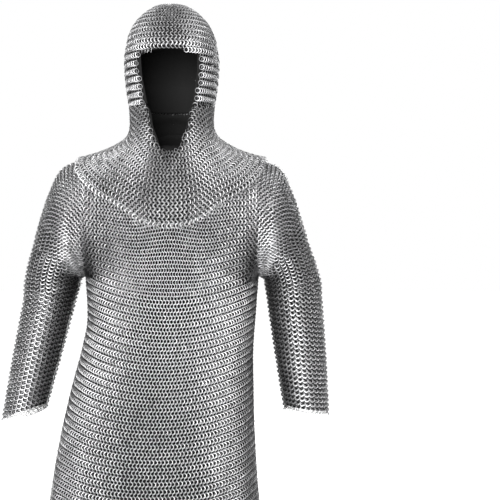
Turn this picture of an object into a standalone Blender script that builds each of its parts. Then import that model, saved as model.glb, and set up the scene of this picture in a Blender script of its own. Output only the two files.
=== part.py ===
"""Mail shirt with coif: a sleeved shirt of linked steel rings and a hood with a mantle over the shoulders.

The cloth of rings is modelled panel by panel as thin shells with its main folds, over a thin black backing.
The frame is in metres with +Z up. The front faces -Y. The origin is where the neck under it carries it.
"""

import math

import bmesh
import bpy
import numpy as np

# Cloth of rings, backing cloth and the spaces between them
MAIL_THICK = 0.006
BACKING_THICK = 0.0015
SEAM_GAP = 0.0003
MANTLE_CLEARANCE = 0.003
BORDER_WIDTH = 0.012
WELD_DISTANCE = 0.000001
NORMAL_STEP = 0.0005

# Body of the shirt
CHEST_HALF_WIDTH = 0.177
BODY_SET_BACK = 0.0215
ARMHOLE_RADIUS = 0.121
SHOULDER_END_DROP = 0.017
ARMHOLE_DROP = SHOULDER_END_DROP + ARMHOLE_RADIUS
CHEST_FRONT_FULLNESS = 0.0055
CHEST_BACK_FULLNESS = 0.0015
ARMPIT_FRONT_FULLNESS = 0.011
ARMPIT_BACK_FULLNESS = 0.0005
CHEST_FRONT_DEPTH = ARMHOLE_RADIUS + CHEST_FRONT_FULLNESS
CHEST_BACK_DEPTH = ARMHOLE_RADIUS + CHEST_BACK_FULLNESS
ARMPIT_FRONT_DEPTH = ARMHOLE_RADIUS + ARMPIT_FRONT_FULLNESS
ARMPIT_BACK_DEPTH = ARMHOLE_RADIUS + ARMPIT_BACK_FULLNESS
SKIRT_LENGTH = 0.601
ROW_SAG = 0.070
FOLD_DEPTH = 0.008
FOLD_COUNTS = (7, 11)
FOLD_PHASE = 1.0
BODY_ROUNDNESS = 2.6

# Shoulder line and neck hole of the shirt
NECK_RISE = 0.085
RIDGE_SET_BACK = 0.045
NECK_HALF_WIDTH = 0.085
NECK_FRONT_REACH = 0.096
NECK_BACK_REACH = 0.075
CREST_EASE = 0.030
SHOULDER_CURVE = 1.85
CHEST_ROUNDNESS = 1.8
BACK_ROUNDNESS = 2.4
SHOULDER_ROUNDNESS = 2.0

# Sleeves
UNDERARM_RADIUS = 0.012
SLEEVE_WIDTH = 0.121
SLEEVE_HALF_DEPTH = 0.078
UPPER_SLEEVE_LENGTH = 0.108
LOWER_SLEEVE_LENGTH = 0.156
LEFT_ARM_LEAN = math.radians(12.75)
RIGHT_ARM_LEAN = math.radians(6.0)
ELBOW_MARGIN = 0.001

# Hood and mantle of the coif
HEAD_HALF_WIDTH = 0.0965
HEAD_HALF_DEPTH = 0.120
HEAD_RISE = 0.297
HEAD_TOP_FORWARD = 0.012
HEAD_LEAN_POWER = 4
TURN_HEIGHT = 0.085
CROWN_DEPTH = 0.047
BROW_DEPTH = 0.108
BROW_CORNER_DROP = 0.011
CROWN_HEIGHT = HEAD_RISE - CROWN_DEPTH
BROW_HEIGHT = HEAD_RISE - BROW_DEPTH
BROW_CORNER_HEIGHT = BROW_HEIGHT - BROW_CORNER_DROP
FACE_HALF_WIDTH = 0.0605
FACE_DROP = 0.030
HEAD_ROUNDNESS = 2.3
NECK_BLEND = 0.030
MANTLE_FRONT_DROP = 0.164

# Search for the mantle's surface, by rays from a point in the chest
HEART_DROP = 0.098
RAY_HIGHEST = math.radians(80)
RAY_LOWEST = math.radians(-35)
RAY_TURNS = 144
RAY_STEPS = 160
BISECTIONS = 40
LEAST_FACING = 0.45
LEAST_SOFTNESS = 0.001
OPENING_TURN_LIMIT = 0.2
TURN_TOLERANCE = 1e-6
LEAST_LENGTH = 1e-12

# How the panels divide each round, as shares of a turn, and the body, as a share of its way down
SIDE_SHARE = 0.11
CHEEK_SHARE = 1 / 3
MANTLE_SIDE_SHARE = 0.28
WAIST_SHARE = 0.335

# Sag of the rows at the sides, as a share of the sag at the front
SIDE_SAG_SHARE = 0.25

# Rise of the shoulder's corner: share of the sleeve's turn over it that gets rows of its own
SHOULDER_CORNER_SHARE = 0.25

# Widths and depths down the body: way down, left, right, front and back as shares of the body at the armpits
BODY_SHARES = (
    (0.00, 1.00, 1.00, 1.00, 1.00),
    (0.08, 0.98, 0.98, 1.01, 1.00),
    (0.15, 0.98, 0.96, 1.03, 1.02),
    (0.22, 1.03, 0.94, 1.07, 1.05),
    (0.35, 1.16, 0.94, 1.13, 1.08),
    (0.49, 1.28, 0.95, 1.14, 1.10),
    (0.70, 1.39, 0.98, 1.15, 1.11),
    (1.00, 1.48, 1.09, 1.17, 1.14),
)

# Growth of the sag and of the folds down the body: way down, share of the sag, share of the fold depth
DRAPE_SHARES = (
    (0.00, 0.00, 0.00),
    (0.12, 0.15, 0.00),
    (0.45, 1.00, 0.10),
    (0.70, 1.00, 0.55),
    (1.00, 0.60, 1.00),
)

# Turn of the sleeve over the shoulder: share of the turn, width and depth as shares of the armhole's
SHOULDER_SHARES = (
    (0.00, 1.00, 1.00),
    (0.125, 0.93, 0.965),
    (0.21, 0.79, 0.92),
    (0.30, 0.67, 0.86),
    (0.50, 0.52, 0.77),
    (0.75, 0.475, 0.69),
    (1.00, 0.50, 0.645),
)

# Taper of the sleeve from the shoulder's turn to the cuff: way down, width and depth shares
SLEEVE_SHARES = (
    (0.0, 1.00, 1.00),
    (0.4, 0.94, 0.91),
    (1.0, 0.80, 0.77),
)

# Head of the coif: height share, half width, front and back as shares of the head's half sizes
HEAD_SHARES = (
    (0.15, 0.875, 0.720, 0.90),
    (0.286, 0.900, 0.817, 0.80),
    (0.36, 0.938, 0.860, 0.745),
    (0.45, 0.975, 0.915, 0.710),
    (0.56, 1.000, 0.985, 0.725),
    (0.64, 0.995, 1.045, 0.745),
    (0.70, 0.960, 1.030, 0.765),
    (0.75, 0.930, 0.970, 0.770),
    (0.80, 0.875, 0.880, 0.745),
    (0.85, 0.790, 0.770, 0.675),
    (0.90, 0.660, 0.630, 0.560),
    (0.95, 0.470, 0.440, 0.390),
    (0.98, 0.290, 0.270, 0.240),
    (1.00, 0.000, 0.000, 0.000),
)

# Half width of the face opening: share of the way up to the brow's corners, share of the half width there
FACE_SHARES = (
    (0.00, 0.00),
    (0.05, 0.16),
    (0.13, 0.30),
    (0.22, 0.41),
    (0.34, 0.58),
    (0.46, 0.66),
    (0.56, 0.79),
    (0.66, 0.86),
    (0.82, 0.96),
    (1.00, 1.00),
)

# Lower edge of the mantle: share of the half turn from the front, share of the front's drop
MANTLE_EDGE_SHARES = (
    (0.00, 1.00),
    (0.13, 0.92),
    (0.20, 0.74),
    (0.28, 0.54),
    (0.35, 0.30),
    (0.42, 0.13),
    (0.56, 0.03),
    (0.75, 0.05),
    (1.00, 0.09),
)

# Weights that pick the diagonal of a rim's face, and the least share of a normal that is turned into a plane
DIAGONAL_SHARES = (0.60, 0.37, 0.71)
LEAST_NORMAL_SHARE = 0.2

# Segments of the panels
SIDE_SEGMENTS = 4
FRONT_SEGMENTS = 10
WAIST_SEGMENTS = 4
SKIRT_SEGMENTS = 5
CHEST_SEGMENTS = 7
SLEEVE_SEGMENTS = 8
CORNER_SEGMENTS = 2
SHOULDER_SEGMENTS = 4
UPPER_SLEEVE_SEGMENTS = 2
LOWER_SLEEVE_SEGMENTS = 3
CHEEK_SEGMENTS = 7
NAPE_SEGMENTS = 8
BROW_SEGMENTS = 5
CHEEK_ROW_SEGMENTS = 3
BROW_ROW_SEGMENTS = 2
CROWN_SEGMENTS = 3
MANTLE_FRONT_SEGMENTS = 8
MANTLE_BACK_SEGMENTS = 10
MANTLE_SEGMENTS = 5


def profile(table, at, column):
    """Smooth curve through one column of a table whose first column is the position."""
    stops = np.array([row[0] for row in table])
    values = np.array([row[column] for row in table])
    slopes = np.gradient(values, stops)
    at = np.clip(at, stops[0], stops[-1])
    i = np.clip(np.searchsorted(stops, at, side="right") - 1, 0, len(stops) - 2)
    span = stops[i + 1] - stops[i]
    t = (at - stops[i]) / span
    rise = values[i + 1] - values[i]
    start = slopes[i] * span
    end = slopes[i + 1] * span
    return values[i] + t * start + t ** 2 * (3 * rise - 2 * start - end) + t ** 3 * (start + end - 2 * rise)


def signed_power(value, power):
    return np.sign(value) * np.abs(value) ** power


def mix(low, high, share):
    return low + (high - low) * share


def body_point(turn, down):
    """Outer surface of the shirt below the armpits: turn is 0 at the right side and 0.75 at the front."""
    turn, down = np.broadcast_arrays(turn, down)
    c, s = np.cos(2 * np.pi * turn), np.sin(2 * np.pi * turn)
    left = CHEST_HALF_WIDTH * profile(BODY_SHARES, down, 1)
    right = CHEST_HALF_WIDTH * profile(BODY_SHARES, down, 2)
    front = ARMPIT_FRONT_DEPTH * profile(BODY_SHARES, down, 3)
    back = ARMPIT_BACK_DEPTH * profile(BODY_SHARES, down, 4)
    angle = 2 * np.pi * turn
    waves = (np.cos(FOLD_COUNTS[0] * angle + FOLD_PHASE) + np.cos(FOLD_COUNTS[1] * angle)) / 2
    fold = FOLD_DEPTH * profile(DRAPE_SHARES, down, 2) * waves
    x = (right - left) / 2 + (right + left) / 2 * signed_power(c, 2 / BODY_ROUNDNESS) + fold * c
    y = BODY_SET_BACK + np.where(s < 0, front, back) * signed_power(s, 2 / BODY_ROUNDNESS) + fold * s
    sag = ROW_SAG * profile(DRAPE_SHARES, down, 1) * mix(SIDE_SAG_SHARE, 1, -s)
    z = -ARMHOLE_DROP - ARMHOLE_RADIUS - SKIRT_LENGTH * down - sag
    return np.stack([x, y, z], -1)


def shirt_depth(x, level, back):
    """Distance of the shirt from its middle plane. Level is 0 at chest height and 1 at the armpits."""
    back_depth = mix(CHEST_BACK_DEPTH, ARMPIT_BACK_DEPTH, level)
    front_depth = mix(CHEST_FRONT_DEPTH, ARMPIT_FRONT_DEPTH, level)
    depth = np.where(back, back_depth, front_depth)
    armhole = ARMHOLE_RADIUS * np.sqrt(np.clip(1 - level ** 2, 0, 1))
    narrowing = 1 - (armhole / depth) ** BODY_ROUNDNESS
    inside = 1 - narrowing * np.clip(np.abs(x) / CHEST_HALF_WIDTH, 0, 1) ** BODY_ROUNDNESS
    return depth * np.clip(inside, 0, 1) ** (1 / BODY_ROUNDNESS)


def shoulder_shape(x, back):
    """Crest height and place, chest place and roundness of the shoulder's slice at x."""
    reach = math.hypot(CHEST_HALF_WIDTH, CREST_EASE) - CREST_EASE
    share = np.clip((np.sqrt(x ** 2 + CREST_EASE ** 2) - CREST_EASE) / reach, 0, 1)
    crest = -SHOULDER_END_DROP + (NECK_RISE + SHOULDER_END_DROP) * (1 - share) ** SHOULDER_CURVE
    middle = mix(RIDGE_SET_BACK, BODY_SET_BACK, share)
    chest = BODY_SET_BACK + np.where(back, 1, -1) * shirt_depth(x, np.zeros_like(x), back)
    roundness = mix(np.where(back, BACK_ROUNDNESS, CHEST_ROUNDNESS), SHOULDER_ROUNDNESS, share)
    return crest, middle, chest, roundness


def shoulder_slice(x, angle, back):
    """Point of the upper shirt's slice at x: angle is -90 degrees at the armpits and 90 at the crest."""
    level = np.clip(-np.sin(angle), 0, 1)
    low_y = BODY_SET_BACK + np.where(back, 1, -1) * shirt_depth(x, level, back)
    low_z = -ARMHOLE_DROP - ARMHOLE_RADIUS * level
    crest, middle, chest, roundness = shoulder_shape(x, back)
    up = np.clip(np.sin(angle), 0, 1) ** (2 / roundness)
    out = np.clip(np.cos(angle), 0, 1) ** (2 / roundness)
    high_y = middle + (chest - middle) * out
    high_z = -ARMHOLE_DROP + (crest + ARMHOLE_DROP) * up
    upper = angle > 0
    return np.stack([x, np.where(upper, high_y, low_y), np.where(upper, high_z, low_z)], -1)


def neck_middle():
    """Place of the neck hole's widest line, front to back."""
    return float(shoulder_shape(np.array(NECK_HALF_WIDTH), np.array(False))[1])


def neckline_angle(x, back):
    """Slice angle where the neck hole starts, or 90 degrees outside it."""
    reach = np.where(back, NECK_BACK_REACH, NECK_FRONT_REACH)
    low = np.zeros_like(x)
    high = np.full_like(x, math.pi / 2)
    for _ in range(BISECTIONS):
        angle = (low + high) / 2
        y = shoulder_slice(x, angle, back)[..., 1]
        inside = (x / NECK_HALF_WIDTH) ** 2 + ((y - neck_middle()) / reach) ** 2 < 1
        high = np.where(inside, angle, high)
        low = np.where(inside, low, angle)
    return high


def slice_place(turn):
    """Sideways place of the shirt's outline at the armpits, at a turn."""
    return CHEST_HALF_WIDTH * signed_power(np.cos(2 * np.pi * turn), 2 / BODY_ROUNDNESS)


def upper_front(x, rise):
    """Outer surface of the chest above the armpits: rise is 0 there and 1 at the crest or the neckline."""
    x, rise = np.broadcast_arrays(x, rise)
    back = np.full(x.shape, False)
    return shoulder_slice(x, mix(-math.pi / 2, neckline_angle(x, back), rise), back)


def upper_back(x, rise):
    """Outer surface of the back above the armpits, with rise as on the chest."""
    x, rise = np.broadcast_arrays(x, rise)
    back = np.full(x.shape, True)
    return shoulder_slice(x, mix(-math.pi / 2, neckline_angle(x, back), rise), back)


class Sleeve:
    """One sleeve: its turn over the shoulder, then a tube that leans away from the body."""

    def __init__(self, side, lean):
        self.side = side
        self.turn = math.pi / 2 + lean
        self.length = UPPER_SLEEVE_LENGTH + LOWER_SLEEVE_LENGTH
        armpit = -ARMHOLE_DROP - ARMHOLE_RADIUS
        self.pivot = np.array([CHEST_HALF_WIDTH, BODY_SET_BACK, armpit - UNDERARM_RADIUS])
        self.axis = np.array([math.sin(lean), 0.0, -math.cos(lean)])

    def ring(self, along):
        """Centre, outward direction, half width and half depth.

        Along is 0 at the armhole, 1 at the underarm, and then grows by metres down the sleeve.
        """
        share = np.clip(along, 0, 1)
        down = np.clip(along - 1, 0, None)
        angle = self.turn * share
        outward = np.stack([np.sin(angle), np.zeros_like(angle), np.cos(angle)], -1)
        width = np.where(down > 0, SLEEVE_WIDTH * profile(SLEEVE_SHARES, down / self.length, 1),
                         2 * ARMHOLE_RADIUS * profile(SHOULDER_SHARES, share, 1))
        depth = np.where(down > 0, SLEEVE_HALF_DEPTH * profile(SLEEVE_SHARES, down / self.length, 2),
                         ARMHOLE_RADIUS * profile(SHOULDER_SHARES, share, 2))
        start = 2 * ARMHOLE_RADIUS * profile(SHOULDER_SHARES, share, 1)
        centre = self.pivot + outward * (UNDERARM_RADIUS + start / 2)[..., None] + self.axis * down[..., None]
        return centre, outward, width / 2, depth

    def point(self, turn, along):
        """Outer surface: turn is 0 outward, 0.25 at the front, 0.5 inward and 0.75 at the back."""
        turn, along = np.broadcast_arrays(turn, along)
        centre, outward, half_width, half_depth = self.ring(along)
        across = half_width * np.cos(2 * np.pi * turn)
        forward = half_depth * np.sin(2 * np.pi * turn)
        point = centre + outward * across[..., None]
        point[..., 1] -= forward
        point[..., 0] *= self.side
        return point

    def elbow(self):
        """Place of the elbow's crease, at the front of the sleeve."""
        centre, _, _, half_depth = self.ring(np.array(1 + UPPER_SLEEVE_LENGTH))
        return np.array([self.side * centre[0], centre[1] - float(half_depth) - ELBOW_MARGIN, centre[2]])


def head_sizes(height):
    """Half width, front and back reach of the hood at a height."""
    share = height / HEAD_RISE
    half = HEAD_HALF_WIDTH * profile(HEAD_SHARES, share, 1)
    front = HEAD_HALF_DEPTH * profile(HEAD_SHARES, share, 2)
    back = HEAD_HALF_DEPTH * profile(HEAD_SHARES, share, 3)
    return half, front, back


def head_point(turn, height):
    """Outer surface of the hood: turn is 0 at the front, 0.25 at the right and 0.5 at the back."""
    turn, height = np.broadcast_arrays(turn, height)
    s, c = np.sin(2 * np.pi * turn), -np.cos(2 * np.pi * turn)
    half, front, back = head_sizes(height)
    forward = HEAD_TOP_FORWARD * np.clip(height / HEAD_RISE, 0, 1) ** HEAD_LEAN_POWER
    x = half * signed_power(s, 2 / HEAD_ROUNDNESS)
    y = np.where(c < 0, front, back) * signed_power(c, 2 / HEAD_ROUNDNESS) - forward
    return np.stack([x, y, height], -1)


def face_half_width(height):
    share = (height + FACE_DROP) / (BROW_CORNER_HEIGHT + FACE_DROP)
    return FACE_HALF_WIDTH * profile(FACE_SHARES, share, 1) * (share > 0)


def face_turn(height):
    """Turn at which the hood starts beside the face opening."""
    half, _, _ = head_sizes(np.minimum(height, BROW_CORNER_HEIGHT))
    share = np.clip(face_half_width(np.minimum(height, BROW_CORNER_HEIGHT)) / half, 0, 1)
    return np.arcsin(share ** (HEAD_ROUNDNESS / 2)) / (2 * np.pi)


def shirt_holds(point):
    """Whether a point lies inside the upper shirt's outer surface."""
    x, y, z = point[..., 0], point[..., 1], point[..., 2]
    back = y > BODY_SET_BACK
    crest, middle, chest, roundness = shoulder_shape(x, y > RIDGE_SET_BACK)
    level = np.clip((-ARMHOLE_DROP - z) / ARMHOLE_RADIUS, 0, 1)
    low = np.abs(y - BODY_SET_BACK) < shirt_depth(x, level, back)
    up = np.clip((z + ARMHOLE_DROP) / (crest + ARMHOLE_DROP), 0, 1)
    reach = (1 - up ** roundness) ** (1 / roundness)
    high = (np.abs(y - middle) < np.abs(chest - middle) * reach) & (z < crest)
    return np.where(z > -ARMHOLE_DROP, high, low) & (np.abs(x) < CHEST_HALF_WIDTH)


def neck_holds(point):
    """Whether a point lies inside the upright neck of the mantle."""
    x, y, z = point[..., 0], point[..., 1], point[..., 2]
    half, front, back = head_sizes(np.clip(z, HEAD_SHARES[0][0] * HEAD_RISE, TURN_HEIGHT))
    reach = np.where(y < 0, front, back)
    return (np.abs(x) / half) ** HEAD_ROUNDNESS + (np.abs(y) / reach) ** HEAD_ROUNDNESS < 1


def ray_length(start, direction, holds):
    """Distance from start to where each ray leaves a shape."""
    low = np.zeros(direction.shape[:-1])
    high = np.full(direction.shape[:-1], HEAD_RISE + HEART_DROP + CHEST_HALF_WIDTH)
    for _ in range(BISECTIONS):
        middle = (low + high) / 2
        inside = holds(start + direction * middle[..., None])
        low = np.where(inside, middle, low)
        high = np.where(inside, high, middle)
    return low


def mantle_offset():
    """Distance from the shirt's outer surface to the mantle's."""
    return MANTLE_CLEARANCE + BACKING_THICK + SEAM_GAP + MAIL_THICK


class Mantle:
    """Outer surface of the mantle, read from rays that leave a point inside the chest."""

    def __init__(self):
        heart = np.array([0.0, BODY_SET_BACK, -HEART_DROP])
        turns = np.linspace(0, 1, RAY_TURNS + 1)
        rises = np.linspace(RAY_HIGHEST, RAY_LOWEST, RAY_STEPS)
        turn, rise = np.meshgrid(turns, rises, indexing="ij")
        angle = 2 * np.pi * turn
        ray = np.stack([np.sin(angle) * np.cos(rise), -np.cos(angle) * np.cos(rise), np.sin(rise)], -1)
        shirt = ray_length(heart, ray, shirt_holds)
        surface = heart + ray * shirt[..., None]
        normal = np.cross(np.gradient(surface, axis=0), np.gradient(surface, axis=1))
        normal /= np.linalg.norm(normal, axis=-1, keepdims=True) + LEAST_LENGTH
        facing = np.clip(np.abs((normal * ray).sum(-1)), LEAST_FACING, 1)
        shirt = shirt + mantle_offset() / facing
        neck = ray_length(heart, ray, neck_holds)
        self.paths = []
        for i in range(len(turns)):
            self.paths.append(self.path(turns[i], heart, ray[i], shirt[i], neck[i]))
        self.turns = turns
        self.paths = np.array(self.paths)

    def path(self, turn, heart, ray, shirt, neck):
        """One path from the turning height down to the mantle's edge, at even steps along its length."""
        height = heart[2] + ray[:, 2] * neck
        softness = NECK_BLEND * np.clip((TURN_HEIGHT - height) / NECK_BLEND, LEAST_SOFTNESS, 1)
        near = np.clip(softness - np.abs(shirt - neck), 0, None)
        length = np.maximum(shirt, neck) + near ** 2 / (4 * softness)
        length = np.where(height > TURN_HEIGHT, neck, length)
        points = heart + ray * length[:, None]
        half_turn = abs(((turn + 0.5) % 1) - 0.5) * 2
        edge = -MANTLE_FRONT_DROP * float(profile(MANTLE_EDGE_SHARES, np.array(half_turn), 1))
        heights = points[:, 2]
        first = int(np.argmax(heights <= TURN_HEIGHT))
        last = int(np.argmax(heights <= edge))
        first_share = (heights[first - 1] - TURN_HEIGHT) / (heights[first - 1] - heights[first])
        last_share = (heights[last - 1] - edge) / (heights[last - 1] - heights[last])
        top = mix(points[first - 1], points[first], first_share)
        low = mix(points[last - 1], points[last], last_share)
        run = np.vstack([top, points[first:last], low])
        steps = np.concatenate([[0.0], np.cumsum(np.linalg.norm(np.diff(run, axis=0), axis=1))])
        even = np.linspace(0, steps[-1], RAY_STEPS)
        return np.stack([np.interp(even, steps, run[:, k]) for k in range(3)], -1)

    def point(self, turn, down):
        """Outer surface: turn is 0 at the front, down is 0 at the turning height and 1 at the edge."""
        turn, down = np.broadcast_arrays(turn, down)
        column = (turn % 1) * RAY_TURNS
        row = np.clip(down, 0, 1) * (RAY_STEPS - 1)
        i = np.clip(np.floor(column).astype(int), 0, RAY_TURNS - 1)
        j = np.clip(np.floor(row).astype(int), 0, RAY_STEPS - 2)
        across = (column - i)[..., None]
        along = (row - j)[..., None]
        first = mix(self.paths[i, j], self.paths[i, j + 1], along)
        second = mix(self.paths[i + 1, j], self.paths[i + 1, j + 1], along)
        return mix(first, second, across)

    def opening_turn(self, down):
        """Turn at which the mantle starts beside the point of the face opening."""
        down = np.atleast_1d(down)
        low = np.zeros_like(down)
        high = np.full_like(down, OPENING_TURN_LIMIT)
        for _ in range(BISECTIONS):
            turn = (low + high) / 2
            point = self.point(turn, down)
            inside = np.abs(point[..., 0]) < face_half_width(point[..., 2])
            low = np.where(inside, turn, low)
            high = np.where(inside, high, turn)
        return np.where(low > TURN_TOLERANCE, high, 0.0)


def material(name, colour, metallic, roughness):
    made = bpy.data.materials.new(name)
    made.use_nodes = True
    shader = made.node_tree.nodes["Principled BSDF"]
    shader.inputs["Base Color"].default_value = (*colour, 1)
    shader.inputs["Metallic"].default_value = metallic
    shader.inputs["Roughness"].default_value = roughness
    made.diffuse_color = (*colour, 1)
    return made


def surface_normals(surface, u, v):
    """Unit normals of a surface at its grid, from small steps along it."""
    along_u = surface(u + NORMAL_STEP, v) - surface(u - NORMAL_STEP, v)
    along_v = surface(u, v + NORMAL_STEP) - surface(u, v - NORMAL_STEP)
    normal = np.cross(along_u, along_v)
    return normal / (np.linalg.norm(normal, axis=-1, keepdims=True) + LEAST_LENGTH)


def draw_in(points, closed, capped):
    """Moves a panel's free borders half a seam gap towards its middle."""
    moved = points.copy()

    def shift(border, inner):
        step = inner - border
        length = np.linalg.norm(step, axis=-1, keepdims=True)
        return border + step / np.maximum(length, LEAST_LENGTH) * SEAM_GAP / 2

    if not closed:
        moved[0] = shift(moved[0], points[1])
        moved[-1] = shift(moved[-1], points[-2])
    moved[:, 0] = shift(moved[:, 0], moved[:, 1])
    if not capped:
        moved[:, -1] = shift(moved[:, -1], moved[:, -2])
    return moved


def square_off(normals, edge, axis):
    """Turns the normals along one edge of a grid into the plane across an axis, where another body starts."""
    end = 0 if edge.startswith("first") else -1
    border = (end, slice(None)) if edge.endswith("u") else (slice(None), end)
    flat = normals[border] - (normals[border] @ axis)[..., None] * axis
    length = np.linalg.norm(flat, axis=-1, keepdims=True)
    turned = flat / np.maximum(length, LEAST_NORMAL_SHARE)
    normals[border] = np.where(length > LEAST_NORMAL_SHARE, turned, normals[border])


def panel(name, surface, u, v, look, depths, origin, outward, closed=False, capped=False, square=()):
    """A shell between two depths below a surface, over the grid u by v, where v may differ for each u."""
    if v.ndim == 1:
        u, v = np.meshgrid(u, v, indexing="ij")
    points = surface(u, v)
    normals = surface_normals(surface, u, v)
    middle = points[len(points) // 2, points.shape[1] // 2]
    if np.dot(normals[len(points) // 2, points.shape[1] // 2], middle - outward) < 0:
        normals = -normals
    if capped:
        normals[:, -1] = (0, 0, 1)
    for edge, axis in square:
        square_off(normals, edge, axis)
    layers = []
    for depth in depths:
        layers.append(draw_in(points - normals * depth, closed, capped).reshape(-1, 3))
    columns, rows = points.shape[:2]
    mesh = bmesh.new()
    place = mesh.verts.layers.int.new("place")
    bmesh.ops.create_grid(mesh, x_segments=columns - 1, y_segments=rows - 1, size=1)
    mesh.verts.ensure_lookup_table()
    for vert in mesh.verts:
        i = round((vert.co.x + 1) / 2 * (columns - 1))
        j = round((vert.co.y + 1) / 2 * (rows - 1))
        vert[place] = i * rows + j
    shell = bmesh.ops.extrude_face_region(mesh, geom=mesh.faces[:], use_keep_orig=True)
    raised = {item for item in shell["geom"] if isinstance(item, bmesh.types.BMVert)}
    for vert in mesh.verts:
        layer = layers[1] if vert in raised else layers[0]
        vert.co = layer[vert[place]] - origin
    if closed or capped:
        bmesh.ops.remove_doubles(mesh, verts=mesh.verts[:], dist=WELD_DISTANCE)
        drop_walls(mesh)
    split_walls(mesh, {vert for vert in raised if vert.is_valid})
    bmesh.ops.recalc_face_normals(mesh, faces=mesh.faces[:])
    if mesh.calc_volume(signed=True) < 0:
        bmesh.ops.reverse_faces(mesh, faces=mesh.faces[:])
    data = bpy.data.meshes.new(name)
    mesh.to_mesh(data)
    mesh.free()
    data.materials.append(look)
    data.shade_smooth()
    made = bpy.data.objects.new(name, data)
    made.location = origin
    bpy.context.collection.objects.link(made)
    return made


def drop_walls(mesh):
    """Deletes the doubled wall that is left inside where a panel closes on itself."""
    buried = [face for face in mesh.faces if sum(len(edge.link_faces) > 2 for edge in face.edges) >= 2]
    bmesh.ops.delete(mesh, geom=buried, context="FACES_ONLY")
    loose = [edge for edge in mesh.edges if not edge.link_faces]
    bmesh.ops.delete(mesh, geom=loose, context="EDGES")


def split_walls(mesh, inner):
    """Splits each rim face along one diagonal, chosen by place, so that facing rims of two panels match."""
    order = np.array(DIAGONAL_SHARES)
    for face in list(mesh.faces):
        corners = list(face.verts)
        outer = [vert for vert in corners if vert not in inner]
        if len(corners) == 4 and 0 < len(outer) < 4:
            start = min(outer, key=lambda vert: float(np.dot(order, vert.co)))
            bmesh.utils.face_split(face, start, corners[(corners.index(start) + 2) % 4])


def stretch(*runs):
    """Grid places through several runs, each given as start, end and segments."""
    places = [runs[0][0]]
    for start, end, segments in runs:
        for k in range(segments):
            places.append(start + (end - start) * (k + 1) / segments)
    return np.array(places)


MAIL_DEPTHS = (0.0, MAIL_THICK)
BACKING_DEPTHS = (MAIL_THICK + SEAM_GAP, MAIL_THICK + SEAM_GAP + BACKING_THICK)
ORIGIN = np.zeros(3)
SIDEWAYS = np.array([1.0, 0.0, 0.0])
UPWARD = np.array([0.0, 0.0, 1.0])


def build_shirt(mail, backing):
    """Panels of the shirt's body and their backing."""
    inside = np.array([0.0, BODY_SET_BACK, -ARMHOLE_DROP - ARMHOLE_RADIUS - SKIRT_LENGTH / 2])
    chest = np.array([0.0, BODY_SET_BACK, -ARMHOLE_DROP])
    front = stretch((0.5 + SIDE_SHARE, 1 - SIDE_SHARE, FRONT_SEGMENTS))
    back = stretch((SIDE_SHARE, 0.5 - SIDE_SHARE, FRONT_SEGMENTS))
    right = stretch((-SIDE_SHARE, SIDE_SHARE, SIDE_SEGMENTS))
    left = stretch((0.5 - SIDE_SHARE, 0.5 + SIDE_SHARE, SIDE_SEGMENTS))
    border = 1 - BORDER_WIDTH / SKIRT_LENGTH
    waist = stretch((0, WAIST_SHARE, WAIST_SEGMENTS))
    skirt = stretch((WAIST_SHARE, border, SKIRT_SEGMENTS))
    for level, rows in (("waist", waist), ("skirt", skirt)):
        for place, turns in (("front", front), ("back", back), ("right_side", right), ("left_side", left)):
            panel(f"shirt_{level}_{place}", body_point, turns, rows, mail, MAIL_DEPTHS, ORIGIN, inside)
    around = np.concatenate([right, back[1:], left[1:], front[1:]])
    edge = np.array([border, 1.0])
    panel("shirt_hem_border", body_point, around, edge, mail, MAIL_DEPTHS, ORIGIN, inside, closed=True)
    half = SIDE_SEGMENTS // 2
    front_half = np.concatenate([left[half:], front[1:], 1 + right[1:half + 1]])
    back_half = np.concatenate([right[half:], back[1:], left[1:half + 1]])
    rises = stretch((0, 1, CHEST_SEGMENTS))
    downs = np.concatenate([waist, skirt[1:]])
    ends = (("first_u", SIDEWAYS), ("last_u", SIDEWAYS))
    depths = BACKING_DEPTHS
    for place, turns, upper in (("front", front_half, upper_front), ("back", back_half, upper_back)):
        across = slice_place(turns)
        panel(f"shirt_upper_{place}", upper, across, rises, mail, MAIL_DEPTHS, ORIGIN, chest, square=ends)
        panel(f"backing_upper_{place}", upper, across, rises, backing, depths, ORIGIN, chest, square=ends)
        panel(f"backing_body_{place}", body_point, turns, downs, backing, depths, ORIGIN, inside)


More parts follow.
